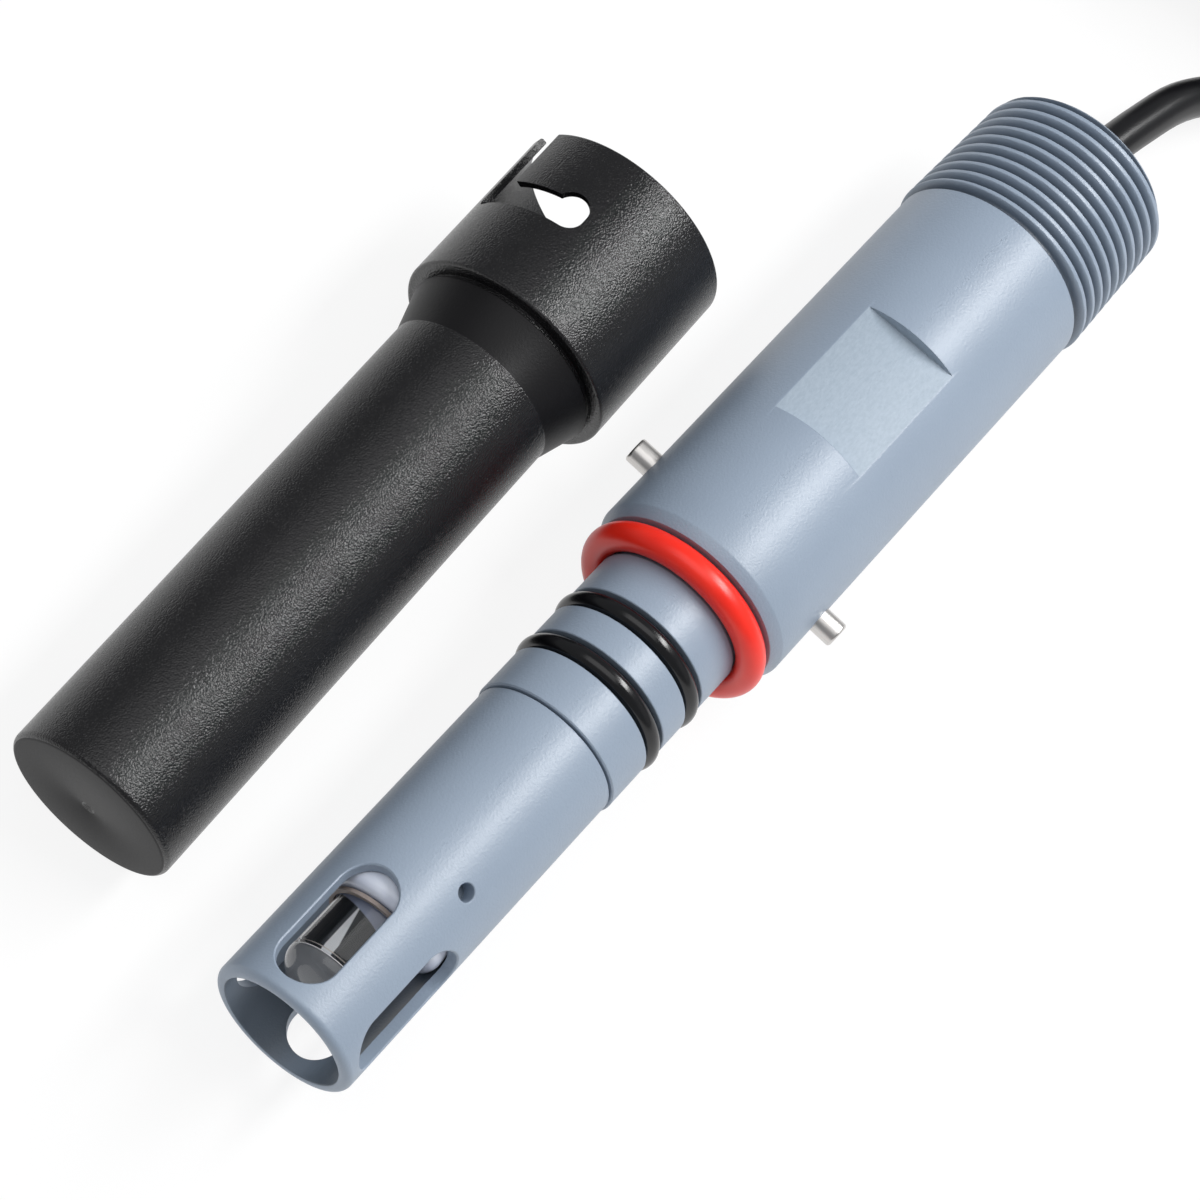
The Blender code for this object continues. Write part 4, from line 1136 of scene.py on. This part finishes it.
def floor():
    """Pale bench that shows white to camera, glossy and transmission rays and keeps the shadow."""
    bm = bmesh.new()
    bmesh.ops.create_grid(bm, x_segments=1, y_segments=1, size=3.0)
    mesh = bpy.data.meshes.new("bench")
    bm.to_mesh(mesh)
    bm.free()
    made = link(bpy.data.objects.new("bench", mesh))
    made.location.z = -BENCH_DROP
    bench_white = bpy.data.materials.new("bench_white")
    bench_white.use_nodes = True
    tree = bench_white.node_tree
    tree.nodes.clear()
    output = tree.nodes.new("ShaderNodeOutputMaterial")
    mix = tree.nodes.new("ShaderNodeMixShader")
    both = tree.nodes.new("ShaderNodeAddShader")
    plain = tree.nodes.new("ShaderNodeBsdfDiffuse")
    shown = tree.nodes.new("ShaderNodeBsdfDiffuse")
    glow = tree.nodes.new("ShaderNodeEmission")
    path = tree.nodes.new("ShaderNodeLightPath")
    plain.inputs["Color"].default_value = (0.80, 0.80, 0.80, 1.0)
    shown.inputs["Color"].default_value = (0.13, 0.13, 0.13, 1.0)
    glow.inputs["Color"].default_value = (1.0, 1.0, 1.0, 1.0)
    glow.inputs["Strength"].default_value = BENCH_GLOW
    tree.links.new(shown.outputs["BSDF"], both.inputs[0])
    tree.links.new(glow.outputs["Emission"], both.inputs[1])
    seen = path.outputs["Is Camera Ray"]
    for ray in ("Is Glossy Ray", "Is Transmission Ray"):
        either = tree.nodes.new("ShaderNodeMath")
        either.operation = "MAXIMUM"
        tree.links.new(seen, either.inputs[0])
        tree.links.new(path.outputs[ray], either.inputs[1])
        seen = either.outputs["Value"]
    tree.links.new(seen, mix.inputs["Fac"])
    tree.links.new(plain.outputs["BSDF"], mix.inputs[1])
    tree.links.new(both.outputs["Shader"], mix.inputs[2])
    tree.links.new(mix.outputs["Shader"], output.inputs["Surface"])
    mesh.materials.append(bench_white)


def world():
    made = bpy.data.worlds.new("studio")
    made.use_nodes = True
    shade = made.node_tree.nodes["Background"]
    shade.inputs["Color"].default_value = (0.95, 0.97, 1.0, 1.0)
    shade.inputs["Strength"].default_value = WORLD_STRENGTH
    bpy.context.scene.world = made


def lights():
    for name, offset, size, power in LIGHTS:
        softbox(name, LIT_PLACE + Vector(offset), LIT_PLACE, size, power)


camera()
grey = machined_polymer(
    "machined_polymer", (0.262, 0.323, 0.408), (0.276, 0.340, 0.427), (0.38, 0.48)
)
# A darker copy of the same polymer for the guard's bore: painted shade
bore_painted_shade = machined_polymer(
    "bore_painted_shade_polymer", (0.105, 0.135, 0.175), (0.125, 0.158, 0.200), (0.42, 0.52)
)
milled_and_painted_light = milled_polymer_painted_light()
black = moulded_black("moulded_black", 3800, 0.00018, (0.20, 0.30), 1.5, True)
black_smooth = moulded_black("moulded_black_smooth", 3000, 0.00004, (0.42, 0.52), 1.3, False)
sheath = rubber("cable_sheath", (0.002, 0.002, 0.003), (0.004, 0.004, 0.005), (0.28, 0.36), 0.00002)
seal = rubber("seal_rubber", (0.002, 0.002, 0.003), (0.004, 0.004, 0.005), (0.17, 0.24))
red = rubber("red_silicone", (0.90, 0.020, 0.008), (0.94, 0.028, 0.012), (0.28, 0.36))
steel = metal("satin_steel", (0.60, 0.58, 0.56), (0.72, 0.70, 0.68), (0.30, 0.38), (60, 60, 4000))
silver = metal("silver_wire", (0.50, 0.48, 0.46), (0.62, 0.60, 0.57), (0.3, 0.45))
tin = metal("tinned_copper", (0.58, 0.57, 0.55), (0.70, 0.69, 0.67), (0.25, 0.4))
amber = rubber("amber_seal", (0.30, 0.25, 0.22), (0.38, 0.32, 0.29), (0.3, 0.4))
white = glossy("white_junction", (0.76, 0.81, 0.96), (0.82, 0.87, 0.98), (0.12, 0.22))
resin = glossy("potting_resin", (0.02, 0.02, 0.022), (0.03, 0.03, 0.034), (0.25, 0.4))
stopper = rubber("stopper_rubber", (0.02, 0.02, 0.02), (0.03, 0.03, 0.03), (0.6, 0.8))
signal = glossy("signal_insulation", (0.66, 0.66, 0.62), (0.72, 0.72, 0.68), (0.3, 0.4))
shield = glossy("shield_insulation", (0.012, 0.012, 0.013), (0.02, 0.02, 0.022), (0.3, 0.4))

cable(sheath)
for node_name, finish in (
    ("cable_tie", woven_strap()),
    ("cable_end_boot", sheath),
    ("signal_lead", signal),
    ("shield_lead", shield),
    ("signal_terminal", tin),
    ("shield_terminal", tin),
    ("glass_seal", amber),
    ("glass_stopper", stopper),
    ("measuring_element", silver),
    ("reference_element", silver),
    ("bulkhead", resin),
    ("potting", resin),
):
    keep(node_name, finish)

housing(grey, milled_and_painted_light)
guard(grey, bore_painted_shade)
front_x = GROOVE_X + GROOVE_WIDTH / 2
seal_ring("seal_front", "o_ring_front", front_x, O_RING_R, O_RING_D, seal)
rear_x = front_x + GROOVE_PITCH
seal_ring("seal_rear", "o_ring_rear", rear_x, O_RING_R, O_RING_D, seal)
seal_ring("seal_face", "face_seal", SEAL_X, SEAL_R, SEAL_D, red)
bayonet_pin("left", 0.0, steel)
bayonet_pin("right", math.pi, steel)
glass_electrode(clear_glass(), gel_painted_light_and_shade())
junction(white)
protective_cap(black, black_smooth)

floor()
world()
lights()
bpy.context.scene.view_settings.view_transform = "Standard"
